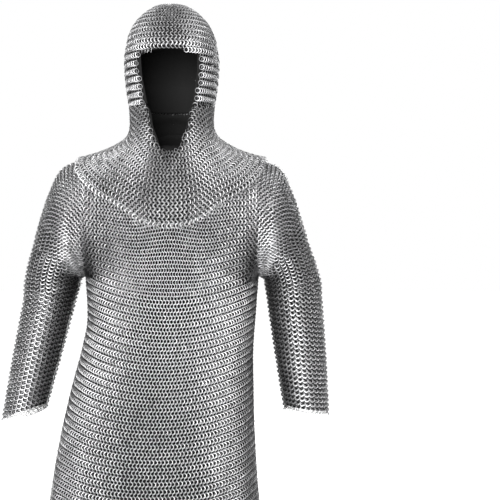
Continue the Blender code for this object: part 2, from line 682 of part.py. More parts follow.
def build_sleeve(word, sleeve, mail, backing):
    """Panels of one sleeve above and below the elbow."""
    shoulder = np.array([sleeve.side * CHEST_HALF_WIDTH, BODY_SET_BACK, -ARMHOLE_DROP])
    elbow = sleeve.elbow()
    mirror = np.array([sleeve.side, 1, 1])
    bend = 1 + UPPER_SLEEVE_LENGTH
    cuff = 1 + sleeve.length
    border = cuff - BORDER_WIDTH
    outer = stretch((-0.25, 0.25, SLEEVE_SEGMENTS))
    inner = stretch((0.25, 0.75, SLEEVE_SEGMENTS))
    cap = stretch((0, SHOULDER_CORNER_SHARE, CORNER_SEGMENTS), (SHOULDER_CORNER_SHARE, 1, SHOULDER_SEGMENTS))
    upper = stretch((1, bend, UPPER_SLEEVE_SEGMENTS))
    lower = stretch((bend, border, LOWER_SLEEVE_SEGMENTS))
    whole = np.concatenate([cap, upper[1:]])
    armhole = ("first_v", SIDEWAYS)
    above = ("last_v", sleeve.axis * mirror)
    below = ("first_v", sleeve.axis * mirror)
    rows = (
        ("shoulder", cap, mail, MAIL_DEPTHS, shoulder, [armhole]),
        ("upper_sleeve", upper, mail, MAIL_DEPTHS, shoulder, [above]),
        ("lower_sleeve", lower, mail, MAIL_DEPTHS, elbow, [below]),
        ("backing_upper", whole, backing, BACKING_DEPTHS, shoulder, [armhole, above]),
        ("backing_lower", lower, backing, BACKING_DEPTHS, elbow, [below]),
    )
    for name, levels, look, depths, origin, square in rows:
        inside = sleeve.ring(levels[len(levels) // 2])[0] * mirror
        for half, turns in (("outer", outer), ("inner", inner)):
            full_name = f"{word}_{name}_{half}"
            panel(full_name, sleeve.point, turns, levels, look, depths, origin, inside, square=square)
    around = np.concatenate([outer, inner[1:]])
    edge = np.array([border, cuff])
    inside = sleeve.ring(np.array(cuff))[0] * mirror
    panel(f"{word}_cuff_border", sleeve.point, around, edge, mail, MAIL_DEPTHS, elbow, inside, closed=True)


def build_hood(mail, backing):
    """Panels of the coif's hood, which turns on the neck."""
    origin = np.array([0.0, 0.0, TURN_HEIGHT])
    middle = np.array([0.0, 0.0, BROW_CORNER_HEIGHT])
    foot = [("first_v", UPWARD)]
    top = stretch((0, 1, BROW_ROW_SEGMENTS))
    low = stretch((TURN_HEIGHT, BROW_CORNER_HEIGHT, CHEEK_ROW_SEGMENTS))
    heights = np.concatenate([low, mix(BROW_CORNER_HEIGHT, CROWN_HEIGHT, top[1:])])
    shares = stretch((0, 1, CHEEK_SEGMENTS))
    start = face_turn(heights)
    cheek = start[None, :] + (CHEEK_SHARE - start[None, :]) * shares[:, None]
    levels = np.broadcast_to(heights[None, :], cheek.shape)
    nape = stretch((CHEEK_SHARE, 1 - CHEEK_SHARE, NAPE_SEGMENTS))
    corner = float(face_turn(np.array([BROW_CORNER_HEIGHT]))[0])
    brow = stretch((-corner, corner, BROW_SEGMENTS))
    lowest = mix(BROW_HEIGHT, BROW_CORNER_HEIGHT, (brow / corner) ** 2)
    brow_levels = lowest[:, None] + (CROWN_HEIGHT - lowest[:, None]) * top[None, :]
    brow_turns = np.broadcast_to(brow[:, None], brow_levels.shape)
    shift = corner + (CHEEK_SHARE - corner) * shares[1:]
    around = np.concatenate([brow, shift, nape[1:], 1 - shift[-2::-1], [1 - corner]])
    crown = stretch((CROWN_HEIGHT, HEAD_RISE, CROWN_SEGMENTS))
    for kind, look, depths in (("coif", mail, MAIL_DEPTHS), ("hood_backing", backing, BACKING_DEPTHS)):
        panel(f"{kind}_right_cheek", head_point, cheek, levels, look, depths, origin, middle, square=foot)
        panel(f"{kind}_left_cheek", head_point, 1 - cheek, levels, look, depths, origin, middle, square=foot)
        panel(f"{kind}_nape", head_point, nape, heights, look, depths, origin, middle, square=foot)
        panel(f"{kind}_brow", head_point, brow_turns, brow_levels, look, depths, origin, middle)
        whole = {"closed": True, "capped": True}
        panel(f"{kind}_crown", head_point, around, crown, look, depths, origin, middle, **whole)


def build_mantle(mantle, mail, backing):
    """Panels of the coif's mantle, which lies on the shirt."""
    inside = np.array([0.0, BODY_SET_BACK, -MANTLE_FRONT_DROP / 2])
    head = [("first_v", UPWARD)]
    length = np.linalg.norm(np.diff(mantle.paths[0], axis=0), axis=1).sum()
    border = 1 - BORDER_WIDTH / length
    downs = stretch((0, border, MANTLE_SEGMENTS))
    shares = stretch((0, 1, MANTLE_FRONT_SEGMENTS))
    start = mantle.opening_turn(downs)
    turns = start[None, :] + (MANTLE_SIDE_SHARE - start[None, :]) * shares[:, None]
    levels = np.broadcast_to(downs[None, :], turns.shape)
    back = stretch((MANTLE_SIDE_SHARE, 1 - MANTLE_SIDE_SHARE, MANTLE_BACK_SEGMENTS))
    for kind, look, depths in (("mantle", mail, MAIL_DEPTHS), ("mantle_backing", backing, BACKING_DEPTHS)):
        for side, places in (("front_right", turns), ("front_left", 1 - turns)):
            panel(f"{kind}_{side}", mantle.point, places, levels, look, depths, ORIGIN, inside, square=head)
        panel(f"{kind}_back", mantle.point, back, downs, look, depths, ORIGIN, inside, square=head)
    front = MANTLE_SIDE_SHARE * shares
    around = np.concatenate([front, back[1:], 1 - front[-2::-1]])
    edge = np.array([border, 1.0])
    panel("mantle_border", mantle.point, around, edge, mail, MAIL_DEPTHS, ORIGIN, inside, closed=True)


for old in list(bpy.data.objects):
    bpy.data.objects.remove(old)

steel = material("ring_steel", (0.42, 0.42, 0.43), 1.0, 0.35)
black_cloth = material("black_cloth", (0.01, 0.01, 0.01), 0.0, 0.95)
build_shirt(steel, black_cloth)
build_sleeve("right", Sleeve(1, RIGHT_ARM_LEAN), steel, black_cloth)
build_sleeve("left", Sleeve(-1, LEFT_ARM_LEAN), steel, black_cloth)
build_hood(steel, black_cloth)
build_mantle(Mantle(), steel, black_cloth)
for made in bpy.data.objects:
    print(made.name, len(made.data.polygons), [round(c, 4) for c in made.location])
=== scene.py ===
# %% [markdown]
# # A mail shirt with its coif
#
# This lesson dresses a plain model of a mail shirt until it looks like the real garment. Real mail is
# cloth made of steel rings, each passed through four neighbours. We make one ring, work out where every
# ring of the garment lies, and hang a black cloth behind them. All lengths are metres. The front of the
# garment faces -Y, +X is to the right of the front view and +Z is up.

# %% Load the frame
import functools
import math

import bmesh
import bpy
import numpy as np
from mathutils import Matrix, Vector


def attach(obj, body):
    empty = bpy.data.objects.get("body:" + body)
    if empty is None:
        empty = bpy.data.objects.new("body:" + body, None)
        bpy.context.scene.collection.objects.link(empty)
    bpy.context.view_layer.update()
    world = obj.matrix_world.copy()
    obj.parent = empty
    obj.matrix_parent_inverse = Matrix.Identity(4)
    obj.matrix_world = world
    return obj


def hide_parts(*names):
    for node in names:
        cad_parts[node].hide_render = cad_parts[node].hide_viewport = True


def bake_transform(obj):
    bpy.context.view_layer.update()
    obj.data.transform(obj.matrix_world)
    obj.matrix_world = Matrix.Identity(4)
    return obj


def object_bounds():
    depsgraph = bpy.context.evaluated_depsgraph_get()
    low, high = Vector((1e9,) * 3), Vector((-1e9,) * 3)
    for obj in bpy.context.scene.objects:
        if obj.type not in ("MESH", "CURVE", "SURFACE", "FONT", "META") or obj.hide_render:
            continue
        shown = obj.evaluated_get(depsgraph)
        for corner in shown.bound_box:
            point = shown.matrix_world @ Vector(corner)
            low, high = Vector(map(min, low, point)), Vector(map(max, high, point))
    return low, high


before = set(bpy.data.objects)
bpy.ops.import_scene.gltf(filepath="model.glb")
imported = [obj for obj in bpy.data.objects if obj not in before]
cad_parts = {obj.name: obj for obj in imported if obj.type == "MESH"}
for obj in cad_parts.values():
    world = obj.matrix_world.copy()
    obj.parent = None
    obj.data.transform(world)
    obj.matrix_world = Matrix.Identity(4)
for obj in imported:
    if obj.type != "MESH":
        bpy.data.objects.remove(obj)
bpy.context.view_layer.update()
SEED = 7
random = np.random.default_rng(SEED)

# %% [markdown]
# ## The camera
#
# The camera comes first, because it tells us which side of the garment matters most. It looks straight at
# the front from nearly three metres, as a photographer would to keep the proportions true. The garment
# stands left of the middle of the picture and its hem lies below the lower edge.

# %% Place the camera
PICTURE_WIDTH = 1.025
VIEW_DISTANCE = 2.8
VIEW_RIGHT = 0.160
VIEW_HEIGHT = -0.205
SENSOR_WIDTH = 36.0

lens = bpy.data.cameras.new("front_lens")
lens.sensor_width = SENSOR_WIDTH
lens.lens = SENSOR_WIDTH * VIEW_DISTANCE / PICTURE_WIDTH
camera = bpy.data.objects.new("front_camera", lens)
camera.location = (VIEW_RIGHT, -VIEW_DISTANCE, VIEW_HEIGHT)
camera.rotation_euler = (math.pi / 2, 0, 0)
bpy.context.collection.objects.link(camera)
bpy.context.scene.camera = camera

# %% [markdown]
# ## Curves through tables of shares
#
# A garment has few driving sizes and many soft shapes between them. Each soft shape is a short table: the
# first column says how far along we are, the others what share of a driving size applies there. A smooth
# curve is drawn through each column. The other helpers measure paths and find edges by halving.

# %% Read a table smoothly
LEAST_LENGTH = 1e-12
BISECTIONS = 40


def profile(table, at, column):
    """Smooth curve through one column of a table whose first column holds the stops."""
    stops = np.array([row[0] for row in table])
    values = np.array([row[column] for row in table])
    slopes = np.gradient(values, stops)
    at = np.clip(at, stops[0], stops[-1])
    i = np.clip(np.searchsorted(stops, at, side="right") - 1, 0, len(stops) - 2)
    span = stops[i + 1] - stops[i]
    t = (at - stops[i]) / span
    rise = values[i + 1] - values[i]
    start = slopes[i] * span
    end = slopes[i + 1] * span
    return values[i] + t * start + t ** 2 * (3 * rise - 2 * start - end) + t ** 3 * (start + end - 2 * rise)


def signed_power(value, power):
    return np.sign(value) * np.abs(value) ** power


def mix(low, high, share):
    return low + (high - low) * share


def smooth(share):
    share = np.clip(share, 0, 1)
    return share * share * (3 - 2 * share)


def unit(vector):
    return vector / np.maximum(np.linalg.norm(vector, axis=-1, keepdims=True), LEAST_LENGTH)


def lengths_along(path):
    """Length of a path up to each of its points."""
    return np.concatenate([[0.0], np.cumsum(np.linalg.norm(np.diff(path, axis=0), axis=1))])


def stepped(start, *legs):
    """Values in even steps along legs, each given by its end and its number of values."""
    parts = [[start]]
    for end, count in legs:
        parts.append(np.linspace(start, end, count)[1:])
        start = end
    return np.concatenate(parts)


def path_length(path):
    return np.linalg.norm(np.diff(path, axis=0), axis=1).sum()


def at_stops(at, stops, points):
    """Rows of three values, read between the stops where they are known."""
    return np.stack([np.interp(at, stops, points[:, k]) for k in range(3)], -1)


def halved(holds, low, high):
    """Narrows down where a test that holds at low stops holding towards high."""
    for _ in range(BISECTIONS):
        middle = (low + high) / 2
        held = holds(middle)
        low = np.where(held, middle, low)
        high = np.where(held, high, middle)
    return low, high

# %% [markdown]
# ## The shirt below the arms
#
# Below the armpits the shirt is a tube around the body that flares into a skirt with a few soft folds.
# Its rows of rings sag towards the front, because the mail hangs from the shoulders and the belly
# pushes it out. A turn of 0 is the right side, a quarter is the back and three quarters the front.

# %% Surface of the shirt's tube
CHEST_HALF_WIDTH = 0.177
BODY_SET_BACK = 0.0215
SHOULDER_END_DROP = 0.017
ARMHOLE_RADIUS = 0.121
ARMHOLE_DROP = SHOULDER_END_DROP + ARMHOLE_RADIUS
CHEST_FRONT_DEPTH = ARMHOLE_RADIUS + 0.0055
CHEST_BACK_DEPTH = ARMHOLE_RADIUS + 0.0015
ARMPIT_FRONT_DEPTH = ARMHOLE_RADIUS + 0.011
ARMPIT_BACK_DEPTH = ARMHOLE_RADIUS + 0.0005
SKIRT_LENGTH = 0.601
ROW_SAG = 0.070
SIDE_SAG_SHARE = 0.25
FOLD_DEPTH = 0.008
FOLD_COUNTS = (7, 11)
FOLD_PHASE = 1.0
BODY_ROUNDNESS = 2.6

# Way down, then left, right, front and back as shares of the body at the armpits
BODY_SHARES = (
    (0.00, 1.00, 1.00, 1.00, 1.00),
    (0.08, 0.98, 0.98, 1.01, 1.00),
    (0.15, 0.98, 0.96, 1.03, 1.02),
    (0.22, 1.03, 0.94, 1.07, 1.05),
    (0.35, 1.16, 0.94, 1.13, 1.08),
    (0.49, 1.28, 0.95, 1.14, 1.10),
    (0.70, 1.39, 0.98, 1.15, 1.11),
    (1.00, 1.48, 1.09, 1.17, 1.14),
)

# Way down, then share of the sag and share of the fold depth
DRAPE_SHARES = (
    (0.00, 0.00, 0.00),
    (0.12, 0.15, 0.00),
    (0.45, 1.00, 0.10),
    (0.70, 1.00, 0.55),
    (1.00, 0.60, 1.00),
)


def across_body(turn):
    """Distance from the middle at which a turn's column climbs the upper shirt."""
    return CHEST_HALF_WIDTH * signed_power(np.cos(2 * np.pi * turn), 2 / BODY_ROUNDNESS)


def body_point(turn, down):
    turn, down = np.broadcast_arrays(turn, down)
    angle = 2 * np.pi * turn
    c, s = np.cos(angle), np.sin(angle)
    left = CHEST_HALF_WIDTH * profile(BODY_SHARES, down, 1)
    right = CHEST_HALF_WIDTH * profile(BODY_SHARES, down, 2)
    front = ARMPIT_FRONT_DEPTH * profile(BODY_SHARES, down, 3)
    back = ARMPIT_BACK_DEPTH * profile(BODY_SHARES, down, 4)
    waves = (np.cos(FOLD_COUNTS[0] * angle + FOLD_PHASE) + np.cos(FOLD_COUNTS[1] * angle)) / 2
    fold = FOLD_DEPTH * profile(DRAPE_SHARES, down, 2) * waves
    x = (right - left) / 2 + (right + left) / 2 * signed_power(c, 2 / BODY_ROUNDNESS) + fold * c
    y = BODY_SET_BACK + np.where(s < 0, front, back) * signed_power(s, 2 / BODY_ROUNDNESS) + fold * s
    sag = ROW_SAG * profile(DRAPE_SHARES, down, 1) * mix(SIDE_SAG_SHARE, 1, -s)
    return np.stack([x, y, -ARMHOLE_DROP - ARMHOLE_RADIUS - SKIRT_LENGTH * down - sag], -1)

# %% [markdown]
# ## The chest and the shoulders
#
# Above the armpits the shirt is cut in slices from side to side. Each slice climbs from the armpit,
# over the chest and up to the crest of the shoulder, so rows laid at equal steps along the slices arch
# over the armpits, as they do on a worn shirt.

# %% Surface of the upper shirt
NECK_RISE = 0.085
RIDGE_SET_BACK = 0.045
NECK_HALF_WIDTH = 0.085
NECK_FRONT_REACH = 0.096
NECK_BACK_REACH = 0.075
CREST_EASE = 0.030
SHOULDER_CURVE = 1.85
CHEST_ROUNDNESS = 1.8
BACK_ROUNDNESS = 2.4
SHOULDER_ROUNDNESS = 2.0


def shirt_depth(x, level, back):
    back_depth = mix(CHEST_BACK_DEPTH, ARMPIT_BACK_DEPTH, level)
    front_depth = mix(CHEST_FRONT_DEPTH, ARMPIT_FRONT_DEPTH, level)
    depth = np.where(back, back_depth, front_depth)
    armhole = ARMHOLE_RADIUS * np.sqrt(np.clip(1 - level ** 2, 0, 1))
    narrowing = 1 - (armhole / depth) ** BODY_ROUNDNESS
    inside = 1 - narrowing * np.clip(np.abs(x) / CHEST_HALF_WIDTH, 0, 1) ** BODY_ROUNDNESS
    return depth * np.clip(inside, 0, 1) ** (1 / BODY_ROUNDNESS)


def shoulder_shape(x, back):
    reach = math.hypot(CHEST_HALF_WIDTH, CREST_EASE) - CREST_EASE
    share = np.clip((np.sqrt(x ** 2 + CREST_EASE ** 2) - CREST_EASE) / reach, 0, 1)
    crest = -SHOULDER_END_DROP + (NECK_RISE + SHOULDER_END_DROP) * (1 - share) ** SHOULDER_CURVE
    middle = mix(RIDGE_SET_BACK, BODY_SET_BACK, share)
    chest = BODY_SET_BACK + np.where(back, 1, -1) * shirt_depth(x, np.zeros_like(x), back)
    roundness = mix(np.where(back, BACK_ROUNDNESS, CHEST_ROUNDNESS), SHOULDER_ROUNDNESS, share)
    return crest, middle, chest, roundness


def shoulder_slice(x, angle, back):
    level = np.clip(-np.sin(angle), 0, 1)
    low_y = BODY_SET_BACK + np.where(back, 1, -1) * shirt_depth(x, level, back)
    low_z = -ARMHOLE_DROP - ARMHOLE_RADIUS * level
    crest, middle, chest, roundness = shoulder_shape(x, back)
    up = np.clip(np.sin(angle), 0, 1) ** (2 / roundness)
    out = np.clip(np.cos(angle), 0, 1) ** (2 / roundness)
    high_y = middle + (chest - middle) * out
    high_z = -ARMHOLE_DROP + (crest + ARMHOLE_DROP) * up
    return np.stack([x, np.where(angle > 0, high_y, low_y), np.where(angle > 0, high_z, low_z)], -1)


NECK_MIDDLE = float(shoulder_shape(np.array(NECK_HALF_WIDTH), np.array(False))[1])

# %% [markdown]
# ## The sleeves
#
# A sleeve starts as a round armhole, turns down over the shoulder like the sweep of a fan whose pin is at
# the armpit, and then runs straight down the arm, getting narrower. Along is 0 at the armhole and 1 at
# the armpit; from there on it grows by metres.

# %% Surface of a sleeve
UNDERARM_RADIUS = 0.012
SLEEVE_WIDTH = 0.121
SLEEVE_HALF_DEPTH = 0.078
UPPER_SLEEVE_LENGTH = 0.108
LOWER_SLEEVE_LENGTH = 0.156
ARM_LEANS = {"left": math.radians(12.75), "right": math.radians(6.0)}
SIDES = {"left": -1, "right": 1}

# Way over the shoulder, then width and depth as shares of the armhole's
SHOULDER_SHARES = (
    (0.00, 1.00, 1.00),
    (0.125, 0.93, 0.965),
    (0.21, 0.79, 0.92),
    (0.30, 0.67, 0.86),
    (0.50, 0.52, 0.77),
    (0.75, 0.475, 0.69),
    (1.00, 0.50, 0.645),
)
# Way down the arm, then width and depth as shares of those at the armpit
SLEEVE_SHARES = ((0.0, 1.00, 1.00), (0.4, 0.94, 0.91), (1.0, 0.80, 0.77))


class Sleeve:
    def __init__(self, word):
        self.word = word
        self.side = SIDES[word]
        self.mirror = np.array([self.side, 1, 1])
        lean = ARM_LEANS[word]
        self.turn = math.pi / 2 + lean
        self.length = UPPER_SLEEVE_LENGTH + LOWER_SLEEVE_LENGTH
        armpit = -ARMHOLE_DROP - ARMHOLE_RADIUS
        self.pivot = np.array([CHEST_HALF_WIDTH, BODY_SET_BACK, armpit - UNDERARM_RADIUS])
        self.axis = np.array([math.sin(lean), 0.0, -math.cos(lean)])

    def ring(self, along):
        """Middle, outward way, half width and half depth of a sleeve's section, as for the right arm."""
        share = np.clip(along, 0, 1)
        down = np.clip(along - 1, 0, None)
        angle = self.turn * share
        outward = np.stack([np.sin(angle), np.zeros_like(angle), np.cos(angle)], -1)
        start = 2 * ARMHOLE_RADIUS * profile(SHOULDER_SHARES, share, 1)
        width = np.where(down > 0, SLEEVE_WIDTH * profile(SLEEVE_SHARES, down / self.length, 1), start)
        depth = np.where(down > 0, SLEEVE_HALF_DEPTH * profile(SLEEVE_SHARES, down / self.length, 2),
                         ARMHOLE_RADIUS * profile(SHOULDER_SHARES, share, 2))
        centre = self.pivot + outward * (UNDERARM_RADIUS + start / 2)[..., None] + self.axis * down[..., None]
        return centre, outward, width / 2, depth

    def middle(self, along):
        return self.ring(along)[0] * self.mirror

    def point(self, turn, along):
        turn, along = np.broadcast_arrays(turn, along)
        centre, outward, half_width, half_depth = self.ring(along)
        point = centre + outward * (half_width * np.cos(2 * np.pi * turn))[..., None]
        point[..., 1] -= half_depth * np.sin(2 * np.pi * turn)
        point[..., 0] *= self.side
        return point

# %% [markdown]
# ## The hood of the coif
#
# The hood follows a head in a padded cap, a little egg-shaped and fuller at the forehead. Its opening is
# wide and nearly straight under the brow and narrows to a point at the throat. A turn of 0 is the front.

# %% Surface of the hood and its face opening
HEAD_HALF_WIDTH = 0.0965
HEAD_HALF_DEPTH = 0.120
HEAD_RISE = 0.297
HEAD_TOP_FORWARD = 0.012
HEAD_LEAN_POWER = 4
TURN_HEIGHT = 0.085
CROWN_HEIGHT = HEAD_RISE - 0.047
BROW_HEIGHT = HEAD_RISE - 0.108
BROW_CORNER_HEIGHT = BROW_HEIGHT - 0.011
FACE_HALF_WIDTH = 0.0605
FACE_DROP = 0.030
HEAD_ROUNDNESS = 2.3
CHEEK_SHARE = 1 / 3

# Height, then half width, front and back as shares of the head's largest
HEAD_SHARES = (
    (0.15, 0.875, 0.720, 0.90),
    (0.286, 0.900, 0.817, 0.80),
    (0.36, 0.938, 0.860, 0.745),
    (0.45, 0.975, 0.915, 0.710),
    (0.56, 1.000, 0.985, 0.725),
    (0.64, 0.995, 1.045, 0.745),
    (0.70, 0.960, 1.030, 0.765),
    (0.75, 0.930, 0.970, 0.770),
    (0.80, 0.875, 0.880, 0.745),
    (0.85, 0.790, 0.770, 0.675),
    (0.90, 0.660, 0.630, 0.560),
    (0.95, 0.470, 0.440, 0.390),
    (0.98, 0.290, 0.270, 0.240),
    (1.00, 0.000, 0.000, 0.000),
)
# Height between the point and the brow, then share of the opening's half width
FACE_SHARES = (
    (0.00, 0.00), (0.05, 0.16), (0.13, 0.30), (0.22, 0.41), (0.34, 0.58),
    (0.46, 0.66), (0.56, 0.79), (0.66, 0.86), (0.82, 0.96), (1.00, 1.00),
)


def head_sizes(height):
    share = height / HEAD_RISE
    half = HEAD_HALF_WIDTH * profile(HEAD_SHARES, share, 1)
    front = HEAD_HALF_DEPTH * profile(HEAD_SHARES, share, 2)
    back = HEAD_HALF_DEPTH * profile(HEAD_SHARES, share, 3)
    return half, front, back


def head_point(turn, height):
    turn, height = np.broadcast_arrays(turn, height)
    s, c = np.sin(2 * np.pi * turn), -np.cos(2 * np.pi * turn)
    half, front, back = head_sizes(height)
    forward = HEAD_TOP_FORWARD * np.clip(height / HEAD_RISE, 0, 1) ** HEAD_LEAN_POWER
    x = half * signed_power(s, 2 / HEAD_ROUNDNESS)
    y = np.where(c < 0, front, back) * signed_power(c, 2 / HEAD_ROUNDNESS) - forward
    return np.stack([x, y, height], -1)


def face_half_width(height):
    share = (height + FACE_DROP) / (BROW_CORNER_HEIGHT + FACE_DROP)
    return FACE_HALF_WIDTH * profile(FACE_SHARES, share, 1) * (share > 0)


def in_face_opening(point, margin):
    """Whether places on the front lie in the face opening, grown by a margin."""
    x, y, z = np.moveaxis(point, -1, 0)
    brow = mix(BROW_HEIGHT, BROW_CORNER_HEIGHT, (np.abs(x) / FACE_HALF_WIDTH) ** 2)
    beside = np.abs(x) < face_half_width(np.minimum(z, BROW_CORNER_HEIGHT)) + margin
    return (y < 0) & beside & (z < brow + margin) & (z > -FACE_DROP - margin)

# %% [markdown]
# ## The mantle
#
# The mantle is the lower part of the coif: it flares from the neck and lies on the shirt. To find where,
# rays leave a point in the chest. Each ray stops a little outside the shirt or outside the upright neck,
# whichever is further, and the two are blended softly where they meet.

# %% Surface of the mantle
MAIL_THICK = 0.006
BACKING_THICK = 0.0015
SEAM_GAP = 0.0003
MANTLE_CLEARANCE = 0.003
BORDER_WIDTH = 0.012
MANTLE_OFFSET = MANTLE_CLEARANCE + BACKING_THICK + SEAM_GAP + MAIL_THICK
MANTLE_FRONT_DROP = 0.164
MANTLE_SIDE_SHARE = 0.28
NECK_BLEND = 0.030
HEART_DROP = 0.098
RAY_HIGHEST = math.radians(80)
RAY_LOWEST = math.radians(-35)
RAY_TURNS = 144
RAY_STEPS = 160
LEAST_FACING = 0.45
LEAST_SOFTNESS = 0.001

# Turn from the front, where 1 is the middle of the back, then share of the front's drop
MANTLE_EDGE_SHARES = (
    (0.00, 1.00), (0.13, 0.92), (0.20, 0.74), (0.28, 0.54), (0.35, 0.30),
    (0.42, 0.13), (0.56, 0.03), (0.75, 0.05), (1.00, 0.09),
)


def shirt_holds(point):
    x, y, z = np.moveaxis(point, -1, 0)
    crest, middle, chest, roundness = shoulder_shape(x, y > RIDGE_SET_BACK)
    level = np.clip((-ARMHOLE_DROP - z) / ARMHOLE_RADIUS, 0, 1)
    low = np.abs(y - BODY_SET_BACK) < shirt_depth(x, level, y > BODY_SET_BACK)
    up = np.clip((z + ARMHOLE_DROP) / (crest + ARMHOLE_DROP), 0, 1)
    reach = (1 - up ** roundness) ** (1 / roundness)
    high = (np.abs(y - middle) < np.abs(chest - middle) * reach) & (z < crest)
    return np.where(z > -ARMHOLE_DROP, high, low) & (np.abs(x) < CHEST_HALF_WIDTH)


def neck_holds(point):
    x, y, z = np.moveaxis(point, -1, 0)
    half, front, back = head_sizes(np.clip(z, HEAD_SHARES[0][0] * HEAD_RISE, TURN_HEIGHT))
    reach = np.where(y < 0, front, back)
    return (np.abs(x) / half) ** HEAD_ROUNDNESS + (np.abs(y) / reach) ** HEAD_ROUNDNESS < 1


def ray_length(start, direction, holds):
    low = np.zeros(direction.shape[:-1])
    high = np.full(direction.shape[:-1], HEAD_RISE + HEART_DROP + CHEST_HALF_WIDTH)
    return halved(lambda length: holds(start + direction * length[..., None]), low, high)[0]

# %% [markdown]
# ## Where the mantle ends
#
# The mantle's edge hangs lowest at the breast and highest on the shoulders. Each ray of points is cut at
# that edge and spaced evenly, so that rows of rings can be laid at equal steps later.

# %% Run the mantle's paths
def mantle_edge_height(turn):
    half_turn = np.abs(((turn + 0.5) % 1) - 0.5) * 2
    return -MANTLE_FRONT_DROP * profile(MANTLE_EDGE_SHARES, half_turn, 1)


def crossing(points, level):
    """Number of the first point at or below a level, and the place where the path crosses the level."""
    heights = points[:, 2]
    after = int(np.argmax(heights <= level))
    share = (heights[after - 1] - level) / (heights[after - 1] - heights[after])
    return after, mix(points[after - 1], points[after], share)


HEART = np.array([0.0, BODY_SET_BACK, -HEART_DROP])


class Mantle:
    """Evenly spaced points from the neck to the mantle's edge, for turns right round."""

    def __init__(self):
        turns = np.linspace(0, 1, RAY_TURNS + 1)
        rises = np.linspace(RAY_HIGHEST, RAY_LOWEST, RAY_STEPS)
        turn, rise = np.meshgrid(turns, rises, indexing="ij")
        angle = 2 * np.pi * turn
        ray = np.stack([np.sin(angle) * np.cos(rise), -np.cos(angle) * np.cos(rise), np.sin(rise)], -1)
        shirt = ray_length(HEART, ray, shirt_holds)
        surface = HEART + ray * shirt[..., None]
        normal = unit(np.cross(np.gradient(surface, axis=0), np.gradient(surface, axis=1)))
        facing = np.clip(np.abs((normal * ray).sum(-1)), LEAST_FACING, 1)
        shirt = shirt + MANTLE_OFFSET / facing
        neck = ray_length(HEART, ray, neck_holds)
        self.paths = np.array([self.path(*row) for row in zip(turns, ray, shirt, neck)])
        steps = np.linalg.norm(np.diff(self.paths, axis=1), axis=-1)
        self.lengths = steps.sum(axis=1)

    def path(self, turn, ray, shirt, neck):
        height = HEART[2] + ray[:, 2] * neck
        softness = NECK_BLEND * np.clip((TURN_HEIGHT - height) / NECK_BLEND, LEAST_SOFTNESS, 1)
        near = np.clip(softness - np.abs(shirt - neck), 0, None)
        length = np.maximum(shirt, neck) + near ** 2 / (4 * softness)
        length = np.where(height > TURN_HEIGHT, neck, length)
        points = HEART + ray * length[:, None]
        first, top = crossing(points, TURN_HEIGHT)
        last, low = crossing(points, float(mantle_edge_height(turn)))
        run = np.vstack([top, points[first:last], low])
        steps = lengths_along(run)
        return at_stops(np.linspace(0, steps[-1], RAY_STEPS), steps, run)

    def point(self, turn, down):
        turn, down = np.broadcast_arrays(turn, down)
        column = (turn % 1) * RAY_TURNS
        row = np.clip(down, 0, 1) * (RAY_STEPS - 1)
        i = np.clip(np.floor(column).astype(int), 0, RAY_TURNS - 1)
        j = np.clip(np.floor(row).astype(int), 0, RAY_STEPS - 2)
        across = (column - i)[..., None]
        along = (row - j)[..., None]
        first = mix(self.paths[i, j], self.paths[i, j + 1], along)
        second = mix(self.paths[i + 1, j], self.paths[i + 1, j + 1], along)
        return mix(first, second, across)

    def length(self, turn):
        return np.interp(turn % 1, np.linspace(0, 1, RAY_TURNS + 1), self.lengths)


mantle = Mantle()
print("mantle from neck to edge at the front: %.3f m" % mantle.lengths[0])

# %% [markdown]
# ## One ring
#
# The rings are steel wire bent to a small circle. The wire is hammered a little flat here, which is a
# guess: in the photo alternate rows catch the light very differently. A ring is a small section spun
# about an axis. Tens of thousands of copies are needed, so it has few faces, with smooth shading between
# sharp rims.

# %% Make the ring
WIRE_WIDE = 0.0014
WIRE_THICK = 0.0008
RING_BORE = 0.0090
RING_RADIUS = (RING_BORE + WIRE_WIDE) / 2
RING_REACH = RING_RADIUS + WIRE_WIDE / 2
RING_SEGMENTS = 8
WIRE_SEGMENTS = 4


def ring_shape():
    """Corners and faces of one ring in its own plane, spun from the wire's section."""
    mesh = bmesh.new()
    place = Matrix.Translation((RING_RADIUS, 0, 0)) @ Matrix.Rotation(math.pi / 2, 4, "X")
    flat = Matrix.Diagonal((WIRE_WIDE, WIRE_THICK, 1, 1))
    section = bmesh.ops.create_circle(mesh, segments=WIRE_SEGMENTS, radius=0.5, matrix=place @ flat)
    bmesh.ops.spin(mesh, geom=section["verts"] + mesh.edges[:], cent=(0, 0, 0), axis=(0, 0, 1),
                   angle=2 * math.pi, steps=RING_SEGMENTS, use_merge=True, use_duplicate=False)
    bmesh.ops.recalc_face_normals(mesh, faces=mesh.faces[:])
    mesh.verts.index_update()
    corners = np.array([vert.co[:] for vert in mesh.verts])
    faces = [[vert.index for vert in face.verts] for face in mesh.faces]
    mesh.free()
    # Blender lists the spun faces in a new order every time, so they are sorted by their corners
    return corners, np.array(sorted(faces, key=sorted))


ring_corners, ring_faces = ring_shape()
# The section is a diamond, whose inner and outer corners lie in the ring's plane and are its sharp rims
ring_rim = np.abs(ring_corners[:, 2]) < WIRE_THICK / 4
print("one ring:", len(ring_corners), "corners,", len(ring_faces), "faces")

# %% [markdown]
# ## Knitting rows
#
# In European four-in-one mail every ring sits between two rings of the row before it. So we lay one row
# and let each next row take the middles. Where the cloth widens the rings get too far apart and one is
# added; where it narrows two become one. An armourer shapes a shirt in the same way. About three quarters
# of our rings end up linked with four others, and the rest miss some where rows slope or end. The places
# of a row are kept in a coordinate that all rows of a panel share, and its lengths are measured in rings.

# %% Lay one row after another
RING_DEPTH = 0.003
STEP = 1e-4
WIDEST_GAP = 1.32
NARROWEST_GAP = 0.70
EVENING_ROUNDS = 3
EVENING_SHARE = 0.30
ROW_END_ROOM = 0.25


